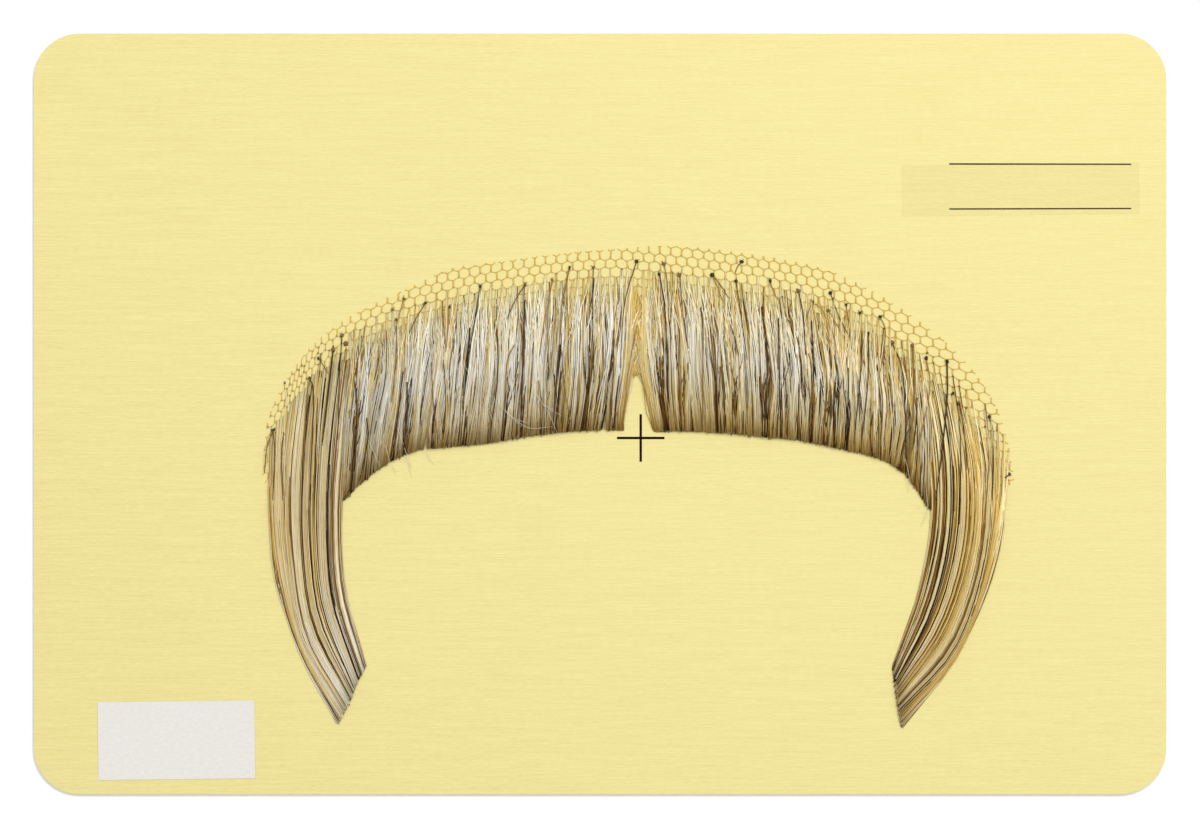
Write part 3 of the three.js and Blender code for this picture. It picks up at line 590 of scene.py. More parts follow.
def foil_card():
    n = Nodes("gold_foil_card")
    place = n.place()
    fine = n.noise(n.stretched(place, (170.0, 6200.0, 1.0)), 1.0, 3.0, 0.6)
    broad = n.noise(n.stretched(place, (60.0, 1500.0, 1.0)), 1.0, 3.0, 0.55)
    cloud = n.noise(n.stretched(place, (9.0, 16.0, 1.0)), 1.0, 3.0, 0.5)
    grain = n.noise(n.stretched(place, (900.0, 5200.0, 1.0)), 1.0, 3.0, 0.65)
    lines = n.math("ADD", n.math("ADD", n.math("MULTIPLY", fine, 0.4), n.math("MULTIPLY", broad, 0.2)), n.math("MULTIPLY", grain, 0.4))
    foil = n.ramp(lines, [(0.32, linear((196, 182, 111))), (0.50, linear((211, 198, 127))), (0.68, linear((225, 213, 145)))])
    foil = n.mix(n.math("MULTIPLY", cloud, 0.16), foil, linear((230, 220, 164)))
    core = n.ramp(n.noise(n.stretched(place, (2600.0, 2600.0, 5200.0)), 1.0, 3.0), [(0.3, linear((214, 205, 184))), (0.7, linear((238, 232, 215)))])
    back = n.ramp(n.noise(n.stretched(place, (900.0, 900.0, 1.0)), 1.0, 4.0, 0.6), [(0.3, linear((226, 223, 214))), (0.7, linear((241, 239, 232)))])
    up = n.facing_up()
    top = n.math("GREATER_THAN", up, 0.5)
    under = n.math("LESS_THAN", up, -0.5)
    colour = n.mix(top, n.mix(under, core, back), foil)
    n.shade(
        Base_Color=colour,
        Metallic=n.math("MULTIPLY", top, 0.2),
        Roughness=n.math("ADD", n.math("MULTIPLY", top, -0.26), n.math("ADD", 0.72, n.math("MULTIPLY", n.math("SUBTRACT", lines, 0.5), 0.35))),
        Normal=n.bump(lines, 0.12, 0.00002),
    )
    n.shader.inputs["Specular IOR Level"].default_value = 0.45
    return n.material


def sticker_paper():
    n = Nodes("white_sticker_paper")
    place = n.place()
    fibre = n.noise(n.stretched(place, (1500.0, 2400.0, 1500.0)), 1.0, 4.0, 0.65)
    cloud = n.noise(place, 160.0, 2.0)
    white = n.ramp(fibre, [(0.3, linear((217, 214, 207))), (0.7, linear((229, 226, 219)))])
    n.shade(
        Base_Color=n.mix(n.math("MULTIPLY", cloud, 0.25), white, linear((216, 214, 207))),
        Roughness=n.math("ADD", 0.42, n.math("MULTIPLY", fibre, 0.2)),
        Normal=n.bump(fibre, 0.15, 0.00001),
    )
    return n.material


def film():
    n = Nodes("clear_film")
    place = n.place()
    haze = n.noise(place, 420.0, 3.0)
    n.shade(
        Base_Color=n.ramp(haze, [(0.3, linear((214, 198, 130))), (0.7, linear((226, 210, 144)))]),
        Roughness=n.math("ADD", 0.12, n.math("MULTIPLY", haze, 0.15)),
        Alpha=n.math("ADD", 0.035, n.math("MULTIPLY", n.math("LESS_THAN", n.math("ABSOLUTE", n.facing_up()), 0.5), 0.5)),
        Normal=n.bump(haze, 0.1, 0.00002),
    )
    return n.material


def ink():
    n = Nodes("brown_black_ink")
    place = n.place()
    speck = n.noise(place, 5200.0, 2.0)
    n.shader.inputs["Specular IOR Level"].default_value = 0.02
    n.shade(
        Base_Color=n.ramp(speck, [(0.35, linear((24, 8, 6))), (0.75, linear((48, 18, 12)))]),
        Roughness=n.math("ADD", 0.45, n.math("MULTIPLY", speck, 0.2)),
    )
    return n.material


# Hair tones: each column of the hair's chart is one of these, a little lighter or darker.
TONES = {
    "silver": [(243, 243, 240), (238, 238, 235), (229, 230, 228), (241, 238, 229), (247, 247, 245)],
    "grey": [(214, 213, 208), (201, 201, 197), (212, 207, 194), (190, 189, 184)],
    "tan": [(226, 209, 156), (214, 195, 136), (236, 221, 174), (204, 183, 118), (226, 212, 168)],
    "gold": [(221, 193, 110), (206, 173, 84)],
    "brown": [(132, 102, 54), (108, 80, 42), (152, 121, 66)],
    "dark": [(62, 44, 25), (48, 34, 20), (76, 54, 31), (34, 25, 16)],
}
CHART = [(tone, colour) for tone, colours in TONES.items() for colour in colours]
COLUMNS = len(CHART)
COLUMN = {tone: [i for i, (t, _) in enumerate(CHART) if t == tone] for tone in TONES}


# Tint along the hair, from knot to cut, as a factor on its own tone. It is partly the hair's own colour and partly
# painted light: a painted gold glow at the knots, where the card shines through sparse hair, factors above one that
# make up for shade among the strands, and painted shade that darkens the lip hair towards the cut.
TINT_AND_PAINTED_LIGHT = {
    "lip_left": [(0.0, (1.25, 1.08, 0.55, 1)), (0.10, (1.22, 1.12, 0.76, 1)), (0.24, (1.23, 1.18, 1.01, 1)), (0.5, (1.10, 1.07, 0.98, 1)), (0.72, (0.95, 0.87, 0.67, 1)), (0.9, (0.61, 0.44, 0.18, 1)), (1.0, (0.47, 0.31, 0.11, 1))],
    "lip_right": [(0.0, (1.25, 1.06, 0.46, 1)), (0.10, (1.22, 1.09, 0.62, 1)), (0.24, (1.24, 1.13, 0.82, 1)), (0.5, (1.15, 1.10, 0.94, 1)), (0.72, (0.95, 0.84, 0.55, 1)), (0.9, (0.65, 0.45, 0.15, 1)), (1.0, (0.50, 0.32, 0.09, 1))],
    "drop_left": [(0.0, (1.2, 1.05, 0.58, 1)), (0.12, (1.02, 0.88, 0.55, 1)), (0.3, (0.99, 0.84, 0.53, 1)), (0.6, (1.03, 0.87, 0.54, 1)), (0.85, (1.05, 0.97, 0.80, 1)), (0.97, (1.07, 1.01, 0.86, 1)), (1.0, (0.88, 0.79, 0.60, 1))],
    "drop_right": [(0.0, (1.48, 1.32, 0.80, 1)), (0.18, (1.44, 1.25, 0.74, 1)), (0.4, (1.12, 0.93, 0.49, 1)), (0.75, (1.0, 0.82, 0.46, 1)), (0.95, (0.84, 0.70, 0.45, 1)), (1.0, (0.7, 0.56, 0.34, 1))],
}


def hair_material(name, shine, tint_and_painted_light):
    n = Nodes(name)
    chart = n.add("ShaderNodeUVMap", uv_map="OFBake").outputs["UV"]
    u = n.add("ShaderNodeSeparateXYZ", {0: chart}).outputs
    stops = [(i / COLUMNS, linear(colour)) for i, (_, colour) in enumerate(CHART)]
    tone = n.ramp(u["X"], stops, "CONSTANT")
    column = n.math("FLOOR", n.math("MULTIPLY", u["X"], float(COLUMNS)))
    spot = n.add("ShaderNodeCombineXYZ", {"X": n.math("MULTIPLY", column, 7.3), "Y": n.math("MULTIPLY", u["Y"], 34.0)}).outputs[0]
    mottle = n.noise(spot, 1.0, 3.0, 0.6)
    # painted light and shade along the hair: the tint ramp multiplies the hair's own tone
    shade = n.ramp(u["Y"], tint_and_painted_light)
    colour = n.mix(1.0, tone, shade, "MULTIPLY")
    colour = n.mix(0.55, colour, n.ramp(mottle, [(0.3, (0.35, 0.33, 0.3, 1)), (0.5, (0.5, 0.5, 0.5, 1)), (0.7, (0.66, 0.66, 0.66, 1))]), "OVERLAY")
    n.shader.inputs["Specular IOR Level"].default_value = 0.2
    n.shade(Base_Color=colour, Roughness=n.math("ADD", shine, n.math("MULTIPLY", mottle, 0.2)))
    return n.material


def thread_material():
    n = Nodes("lace_thread")
    chart = n.add("ShaderNodeUVMap", uv_map="OFBake").outputs["UV"]
    spot = n.stretched(chart, (16.0, 60.0, 1.0))
    twist = n.noise(spot, 1.0, 3.0, 0.6)
    n.shade(
        Base_Color=n.ramp(twist, [(0.3, linear((214, 168, 64))), (0.5, linear((236, 196, 90))), (0.72, linear((251, 221, 126)))]),
        Roughness=n.math("ADD", 0.5, n.math("MULTIPLY", twist, 0.25)),
    )
    return n.material


def knot_material():
    n = Nodes("hair_knots")
    chart = n.add("ShaderNodeUVMap", uv_map="OFBake").outputs["UV"]
    u = n.add("ShaderNodeSeparateXYZ", {0: chart}).outputs
    tone = n.ramp(u["X"], [(0.0, linear((212, 180, 112))), (0.25, linear((188, 152, 90))), (0.5, linear((132, 100, 56))), (0.75, linear((50, 34, 21)))], "CONSTANT")
    grain = n.noise(n.stretched(chart, (40.0, 40.0, 1.0)), 1.0, 3.0, 0.6)
    n.shade(
        Base_Color=n.mix(0.6, tone, n.ramp(grain, [(0.3, (0.3, 0.3, 0.3, 1)), (0.7, (0.66, 0.66, 0.66, 1))]), "OVERLAY"),
        Roughness=n.math("ADD", 0.45, n.math("MULTIPLY", grain, 0.25)),
    )
    return n.material


# ---- Card, stickers and print ------------------------------------------------------------------
node["backing_card"].data.materials.clear()
node["backing_card"].data.materials.append(foil_card())
node["white_sticker"].data.materials.clear()
node["white_sticker"].data.materials.append(sticker_paper())
node["clear_sticker"].data.materials.clear()
node["clear_sticker"].data.materials.append(film())

INK = ink()


def printed(name, strips):
    """Thin closed bars of ink that lie just over the card. strips: (x0, y0, x1, y1, line)."""
    verts, quads = [], []
    low, high = CARD_TOP + 0.004, CARD_TOP + 0.004 + INK_THICK
    for x0, y0, x1, y1, line in strips:
        run = np.array([x1 - x0, y1 - y0])
        run /= np.linalg.norm(run)
        off = np.array([-run[1], run[0]]) * line / 2
        base = len(verts)
        for z in (low, high):
            for p in (np.array([x0, y0]) - off, np.array([x1, y1]) - off, np.array([x1, y1]) + off, np.array([x0, y0]) + off):
                verts.append((p[0], p[1], z))
        quads += [[base + c for c in q] for q in ((3, 2, 1, 0), (4, 5, 6, 7), (0, 1, 5, 4), (1, 2, 6, 5), (2, 3, 7, 6), (3, 0, 4, 7))]
    return build(name, verts, quads, np.zeros((0, 3), int), INK, smooth=False)


c, h, w = CROSS, CROSS["half"], CROSS["line"] / 2
printed(
    "printed_cross",
    [
        (c["x"] - h, c["y"], c["x"] - w, c["y"], 2 * w),
        (c["x"] + w, c["y"], c["x"] + h, c["y"], 2 * w),
        (c["x"], c["y"] - h, c["x"], c["y"] + h, 2 * w),
    ],
)
printed("printed_rules", [(r["x0"], r["y0"], r["x1"], r["y1"], r["line"]) for r in RULES])


# ---- The net -----------------------------------------------------------------------------------
def lace_outline():
    steps = 3 * (len(LACE) - 1)
    t = np.linspace(0, len(LACE) - 1, steps + 1)
    cut = through(np.array([row["cut"] for row in LACE]), t)
    hem = through(np.array([row["hem"] for row in LACE]), t)
    return np.concatenate([cut[::-1], hem])


OUTLINE = lace_outline()


def inside(points, outline=OUTLINE):
    """Which of points (..., 2) lie inside an outline."""
    x, y = points[..., 0, None], points[..., 1, None]
    a, b = outline, np.roll(outline, -1, 0)
    crosses = (a[:, 1] > y) != (b[:, 1] > y)
    rise = np.where(np.abs(b[:, 1] - a[:, 1]) < 1e-12, 1e-12, b[:, 1] - a[:, 1])
    at = a[:, 0] + (y - a[:, 1]) * (b[:, 0] - a[:, 0]) / rise
    return (np.sum(crosses & (x < at), -1) % 2).astype(bool)


def net_warp(p):
    """From the flat net to the net as it lies: rows that follow the lip, and narrow meshes at the left end."""
    x, y = p[..., 0], p[..., 1]
    squeeze = np.where(x < -29.0, -29.0 + (x + 29.0) * (1 - 0.34 * ease((-29.0 - x) / 22.0)), x)
    squeeze = np.where(x > 34.0, 34.0 + (x - 34.0) * (1 + 0.12 * ease((x - 34.0) / 16.0)), squeeze)
    left, right = np.minimum(x - 2.0, 0), np.maximum(x - 2.0, 0)
    fall = left * math.tan(math.radians(3.0)) - right * math.tan(math.radians(4.5)) - 0.0035 * left**2 - 0.0022 * right**2
    shake = 0.07
    return np.stack(
        [
            squeeze + shake * (wander(x + 3.1 * y, 2.1, 31) + 0.6 * wander(x - 2.3 * y, 1.1, 32)),
            y + fall + shake * (wander(x * 0.8 - 3.7 * y, 2.3, 33) + 0.6 * wander(x + 1.9 * y, 1.2, 34)),
        ],
        -1,
    )


def net_threads():
    """The net's knots and its threads, trimmed to the outline: (N, 2) knots, (M, 2, 2) thread ends, (M,) widths."""
    rise = MESH_ROW - UPRIGHT
    cols, rows = np.arange(-48, 50), np.arange(-22, 24)
    c, r = np.meshgrid(cols, rows, indexing="ij")
    x = (c + 0.5 * (r % 2)) * MESH_PITCH
    y = r * MESH_ROW
    foot, head = np.stack([x, y], -1), np.stack([x, y + UPRIGHT], -1)
    left, right = np.stack([x - MESH_PITCH / 2, y - rise], -1), np.stack([x + MESH_PITCH / 2, y - rise], -1)
    ends = np.concatenate([np.stack([foot, other], 2).reshape(-1, 2, 2) for other in (head, left, right)])
    wide = np.repeat([THREAD["upright"], THREAD["slant"], THREAD["slant"]], len(ends) // 3)
    knots = net_warp(np.concatenate([foot.reshape(-1, 2), head.reshape(-1, 2)]))
    knots = knots[inside(knots)]
    ends = net_warp(ends)
    held = inside(ends)
    keep = held.any(1)
    ends, held, wide = ends[keep], held[keep], wide[keep]
    for k in np.nonzero(~held.all(1))[0]:  # a thread that the trimming cuts through
        a, b = (ends[k, 0], ends[k, 1]) if held[k, 0] else (ends[k, 1], ends[k, 0])
        low, high = 0.0, 1.0
        for _ in range(9):
            mid = (low + high) / 2
            low, high = (mid, high) if inside(a + (b - a) * mid) else (low, mid)
        ends[k] = a, a + (b - a) * low
    keep = np.linalg.norm(ends[:, 1] - ends[:, 0], axis=1) > 0.12
    return knots, ends[keep], wide[keep]


net_knots, net_ends, net_wide = net_threads()
count = len(net_ends)
t = np.array([0.0, 0.5, 1.0])
run = net_ends[:, 1] - net_ends[:, 0]
reach = 0.03 / np.maximum(np.linalg.norm(run, axis=1), 0.1)
flat = net_ends[:, :1] + run[:, None] * (t[None, :, None] * (1 + 2 * reach[:, None, None]) - reach[:, None, None])
flat[:, 1] += rng.normal(0, 0.03, (count, 2))
height = LACE_UNDER + 0.085 + np.abs(rng.normal(0, 0.015, (count, 1))) + np.array([0.0, 0.03, 0.0])[None]
thread_points = np.concatenate([flat, height[..., None]], 2)
slim = 1 - 0.4 * ease((-29.0 - flat[:, 1, :1]) / 9.0)
thread_radius = 0.5 * net_wide[:, None] * slim * rng.uniform(0.85, 1.2, (count, 1)) * np.array([1.2, 0.9, 1.2])[None]
thread_column = rng.integers(0, 12, count)
thread_v = 0.02 + 0.3 * t[None] + rng.uniform(0, 0.62, (count, 1))
THREAD_LOOK = thread_material()
verts, quads, tris, uv = tubes(thread_points, thread_radius, thread_column, 12, thread_v, sides=4)
net_piece = build("lace_net_threads", verts, quads, tris, THREAD_LOOK, uv)
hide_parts("lace_net")


# ---- Hair --------------------------------------------------------------------------------------
def pick(weights, chance):
    """One tone for each row of weights (N, tones), by chance (N,) from 0 to 1."""
    total = np.cumsum(weights, 1)
    total /= total[:, -1:]
    return (chance[:, None] > total).sum(1)


TONE_NAMES = list(TONES)


def columns_for(tone_index):
    out = np.zeros(len(tone_index), int)
    for k, name in enumerate(TONE_NAMES):
        mine = tone_index == k
        out[mine] = np.array(COLUMN[name])[rng.integers(0, len(COLUMN[name]), mine.sum())]
    return out


def knots_of(field, knots, along_max, reach=0.35, above=0.6):
    """The net's knots that carry hair of a tuft, with a few up to `above` before its first full row: their
    points and their shares across and along."""
    shares, off = field.find(knots)
    mine = ((off < reach) & (shares[:, 1] < along_max)) | ((off < above) & (shares[:, 1] < 0.01))
    mine &= (shares[:, 0] > 0.004) & (shares[:, 0] < 0.996)
    return knots[mine], shares[mine]


def knots_over(field, knots, reach):
    """Knots above a tuft's first full row that carry a hair or two, by up to reach: one distance for each of
    some evenly spaced shares across."""
    shares, off = field.find(knots)
    most = np.interp(shares[:, 0], np.linspace(0, 1, len(reach)), reach)
    mine = (shares[:, 1] < 0.01) & (off >= 0.6) & (off < most) & (shares[:, 0] > 0.004) & (shares[:, 0] < 0.996)
    return knots[mine], shares[mine]


def hairs_at(shares, start, rise, most):
    """How many hairs each knot holds: few in the first rows, more further down."""
    mean = start + (most - start) * ease(shares[:, 1] / rise)
    return np.maximum(1, np.floor(mean + rng.uniform(0, 1, len(mean)))).astype(int)


def layer(s, root, span):
    """Share of the depth at which each hair lies: above all that are knotted further down, so that the
    mass is equally dense all through."""
    order = np.sort(root)
    share = (np.arange(len(order)) + 1) / len(order)
    held = np.interp(np.minimum(s, span).ravel(), order, share).reshape(s.shape)
    own = np.interp(root, order, share)[:, None]
    return np.clip((held - own) / np.maximum(held, 0.02), 0, 1)


def comb(field, root_at, root_u, root_s, tip_u, tip_s, count, sway, r, join=0.35, pace=1.15):
    """Hairs that start at root_at (N, 2), spread within a few millimetres and run down a field at share tip_u."""
    n = len(root_at)
    t = np.linspace(0, 1, count)[None] ** pace
    s = root_s[:, None] + (tip_s - root_s)[:, None] * t
    u = root_u[:, None] + (tip_u - root_u)[:, None] * ease((s - root_s[:, None]) / 0.34)
    path = field.at(u, s)
    begin = field.at(root_u, root_s[:, None])[:, 0]
    path = path + (root_at - begin)[:, None] * (1 - ease(t / np.reshape(join, (-1, 1))))[..., None]
    # slow bends of each hair, none at its root
    phase, turns = r.uniform(0, 2 * np.pi, (n, 2)), r.uniform(0.6, 1.7, (n, 2))
    bend = sway * np.abs(r.normal(0, 1, (n, 2)))
    wave = bend[:, None, 0] * np.sin(phase[:, None, 0] + 2 * np.pi * turns[:, None, 0] * t)
    wave = wave + 0.3 * bend[:, None, 1] * np.sin(phase[:, None, 1] + 4 * np.pi * turns[:, None, 1] * t)
    wave = wave - wave[:, :1]
    ahead = np.gradient(path, axis=1)
    side = np.stack([-ahead[..., 1], ahead[..., 0]], -1)
    side /= np.linalg.norm(side, axis=2, keepdims=True) + 1e-9
    return s, u, path + side * (wave * ease(t / 0.14))[..., None]


def ribbons(length, least, most, seed):
    """Edges of ribbons of hair across a tuft `length` mm wide, as shares, with two random shares for each."""
    r = np.random.default_rng(seed)
    edges = [0.0]
    while edges[-1] < 1.0:
        edges.append(edges[-1] + r.uniform(least, most) / length)
    return np.array(edges), r.uniform(0, 1, (len(edges), 2))


def tone_of(weights, ribbon_chance, share, r):
    """A tone for each hair: with a chance of `share` the one that its ribbon mostly has."""
    own = pick(weights, r.uniform(0, 1, len(weights)))
    common = pick(weights, ribbon_chance)
    return np.where(r.uniform(0, 1, len(weights)) < share, common, own)


LIP_WIDE, DROP_WIDE = 38.0, 11.0


def lip_hair(half, seed):
    """All hairs of one half over the lip, as arrays for tubes."""
    field = lip[half]
    r = np.random.default_rng(seed)
    knots, shares = knots_of(field, net_knots, 0.57)
    thin, thin_shares = knots_over(field, net_knots, OVER_FIRST_ROW[half])
    number = np.concatenate([hairs_at(shares, 5.2, 0.50, 13.6), r.integers(1, 4, len(thin))])
    over = np.concatenate([np.zeros(len(knots)), np.ones(len(thin))])
    knots, shares = np.concatenate([knots, thin]), np.concatenate([shares, thin_shares])
    beside = net_knots[(np.abs(net_knots[:, 0] - 4.9) < 1.1) & (net_knots[:, 1] > 5.6) & (net_knots[:, 1] < 17.5)]
    extra, off = field.find(beside)
    number, over = np.concatenate([number, np.full(len(beside), 3)]), np.concatenate([over, np.zeros(len(beside))])
    knots, shares = np.concatenate([knots, beside]), np.concatenate([shares, extra])
    parting = np.concatenate([np.zeros(len(knots) - len(beside)), np.ones(len(beside))]).astype(bool)
    which = np.repeat(np.arange(len(knots)), number)
    n = len(which)
    root_u, root_s, at_parting = shares[which, 0], np.minimum(shares[which, 1], 0.57), parting[which]
    high_up = over[which] > 0.5
    at = knots[which] + r.normal(0, 0.08, (n, 2))
    spread = np.where(r.uniform(0, 1, n) < 0.15, 1.1, 0.5) / LIP_WIDE
    tip_u = np.clip(root_u + r.normal(0, 1, n) * spread, 0.0, 1.0)
    tip_u = np.where((tip_u < 0.004) | (tip_u > 0.996), np.clip(root_u + r.uniform(-0.01, 0.01, n), 0.0005, 0.9995), tip_u)
    tip_u = np.where(at_parting, r.uniform(0.0, 0.03, n), tip_u)
    tip_s = 1.0 + r.normal(0, 0.004, n) - np.abs(r.normal(0, 0.007, n))
    lot = r.uniform(0, 1, n)
    tip_s = np.where(lot < 0.01, 1.0 + r.uniform(0.0, 0.018, n), np.where(lot > 0.95, r.uniform(0.82, 0.99, n), tip_s))
    tip_s = np.where(at_parting & (lot < 0.8), np.maximum(np.minimum(root_s + r.uniform(0.15, 0.4, n), 0.62), root_s + 0.04), tip_s)
    s, u, path = comb(field, at, root_u, root_s, tip_u, tip_s, 9, 0.11, r, np.where(at_parting & (lot < 0.8), 1.2, 0.35))
    edges, lots = ribbons(LIP_WIDE, 0.22, 0.95, seed + 1)
    own = np.clip(np.searchsorted(edges, tip_u) - 1, 0, len(edges) - 2)
    middle, reach = (edges[own] + edges[own + 1]) / 2, (edges[own + 1] - edges[own]) / 2
    from_middle = np.clip((tip_u - middle) / reach, -1, 1)
    # ribbons draw together a little towards the cut, and each has its own slight lean
    x_tip = field.at(tip_u, np.ones((n, 1)))[:, 0, 0]
    free = 1 - ease((tip_u - 0.9) / 0.08)
    lean = (0.22 * wander(x_tip, 1.9, seed + 3) + (lots[own, 1] - 0.5) * 0.14) * free
    path[..., 0] += (lean[:, None] - 0.05 * from_middle[:, None]) * ease((s - 0.45) / 0.55)
    turn = 2 * np.pi * np.random.default_rng(seed + 9).uniform(0, 1, (len(edges), 2))
    curl = (0.35 * lots[own, 0] + 0.1)[:, None] * np.sin(turn[own, :1] + 2 * np.pi * (0.7 + 0.5 * turn[own, 1:] / 6.3) * s)
    path[..., 0] += curl * ease((s - root_s[:, None]) / 0.3) * (1 - 0.85 * ease((s - 0.62) / 0.38)) * free[:, None]
    for gap in GAPS:
        if gap["half"] == half:
            d = x_tip + lean - gap["x"]
            push = np.where(d >= 0, 1, -1) * 0.5 * gap["wide"] * np.exp(-((d / (1.1 * gap["wide"])) ** 2))
            path[..., 0] += push[:, None] * ease((s - 1 + gap["high"]) / gap["high"])
    level = layer(s, root_s, 0.57)
    level = np.clip(level * r.uniform(0.93, 1.03, (n, 1)) + 0.015 * r.normal(0, 1, (n, 1)), 0.0, 1.03)
    in_lock = np.zeros(n, bool)
    for band in DARK_LOCKS:  # their hair comes up from below and lies on top at the cut
        if band["half"] == half:
            near = (np.abs(x_tip - band["x"]) < band["wide"] / 2) & (r.uniform(0, 1, n) < band["share"]) & (root_s > band["start"] * 0.4)
            risen = r.uniform(0.82, 1.03, (n, 1)) * ease((s - band["start"] - r.uniform(-0.25, 0.3, (n, 1))) / 0.4)
            level = np.where(near[:, None], np.maximum(level, risen), level)
            in_lock |= near
    # fine dark hairs between neighbouring ribbons do the same; they are partly dark hair and partly painted shade where
    # ribbons meet
    seam_shade_hairs = (np.abs(from_middle) > 0.84) & (lots[own, 0] > 0.3) & (r.uniform(0, 1, n) < 0.24) & (root_s > 0.06) & (tip_u > 0.03)
    risen = r.uniform(0.82, 1.02, (n, 1)) * ease((s - r.uniform(0.2, 0.8, (n, 1))) / 0.35)
    level = np.where(seam_shade_hairs[:, None], np.maximum(level, risen), level)
    dip = 0.2 * (from_middle**2)[:, None] * ease((s - 0.25) / 0.6)
    step = (1 - 0.16 * lots[own, 0])[:, None]
    thin_out = 1 - 0.35 * ease((s - 0.7) / 0.3)  # the mass gets thinner just before the cut
    z = HAIR_UNDER + 0.05 + field.lift(s) + (field.depth(u, s) - 0.1) * level * (1 - dip) * thin_out * (1 + (step - 1) * ease((s - 0.1) / 0.4))
    # tones
    x_mid = field.at(tip_u, np.full((n, 1), 0.5))[:, 0, 0]
    broad, narrow, fine = wander(x_mid, 4.5, 41), wander(x_mid, 1.3, 42), wander(x_mid, 0.4, 43)
    # partly the hair's own colour, partly painted light: near the knots more hair is tan or gold, standing in for the
    # gold card that shines through the sparse first rows
    top = 1 - ease(root_s / 0.3)
    late = 1 - top
    # painted shade: hair near a ribbon's edges is more often brown or dark, standing in for the shade where ribbons
    # meet
    edge = np.abs(from_middle) ** 3
    outer = ease((tip_u - 0.5) / 0.3) if half == "right" else 0.45 * ease((tip_u - 0.7) / 0.3)
    corner = ease((tip_u - 0.84) / 0.14) * (1.0 if half == "right" else 0.12)
    left_end = ease((tip_u - 0.7) / 0.2) if half == "left" else 0.0
    silver = 1.3 + 0.5 * broad + 0.4 * narrow - 0.45 * outer - 0.7 * corner - 0.9 * left_end
    grey = 0.6 + 0.2 * narrow + 0.25 * late + 1.3 * left_end
    tan = 0.26 - 0.16 * broad - 0.15 * narrow + 0.15 * fine + 0.3 * top + 0.35 * outer - 0.3 * left_end
    gold = 0.035 + 0.06 * np.maximum(fine, 0) + 0.12 * top + 0.08 * outer
    brown = 0.12 + 0.16 * np.maximum(-narrow, 0) + 0.30 * edge + 0.5 * corner + 0.06 * top
    dark = 0.03 + 0.10 * np.maximum(-fine, 0) + 0.16 * edge * late + 0.15 * corner + 0.12 * left_end
    tan, gold = tan + 1.6 * np.exp(-((tip_u / 0.04) ** 2)) + 1.5 * at_parting, gold + 1.0 * np.exp(-((tip_u / 0.03) ** 2)) + 3.0 * at_parting
    brown, dark, grey = (np.where(high_up, 0.3, 1 - 0.85 * np.exp(-((tip_u / 0.03) ** 2))) * value for value in (brown, dark, grey))
    weights = np.maximum(np.stack([silver, grey, tan, gold, brown, dark], 1), 0.01)
    tone = tone_of(weights, lots[own, 0], 0.24, r)
    tone = np.where(in_lock | seam_shade_hairs, np.where(r.uniform(0, 1, n) < 0.5, TONE_NAMES.index("dark"), TONE_NAMES.index("brown")), tone)
    radius = 0.058 * r.uniform(0.8, 1.2, (n, 1)) * np.ones((1, s.shape[1]))
    v = 0.02 + 0.95 * np.clip(0.9 * s + 0.1 * r.uniform(0, 1, (n, 1)), 0, 1)
    return np.concatenate([path, z[..., None]], 2), radius, columns_for(tone), v, root_s, knots


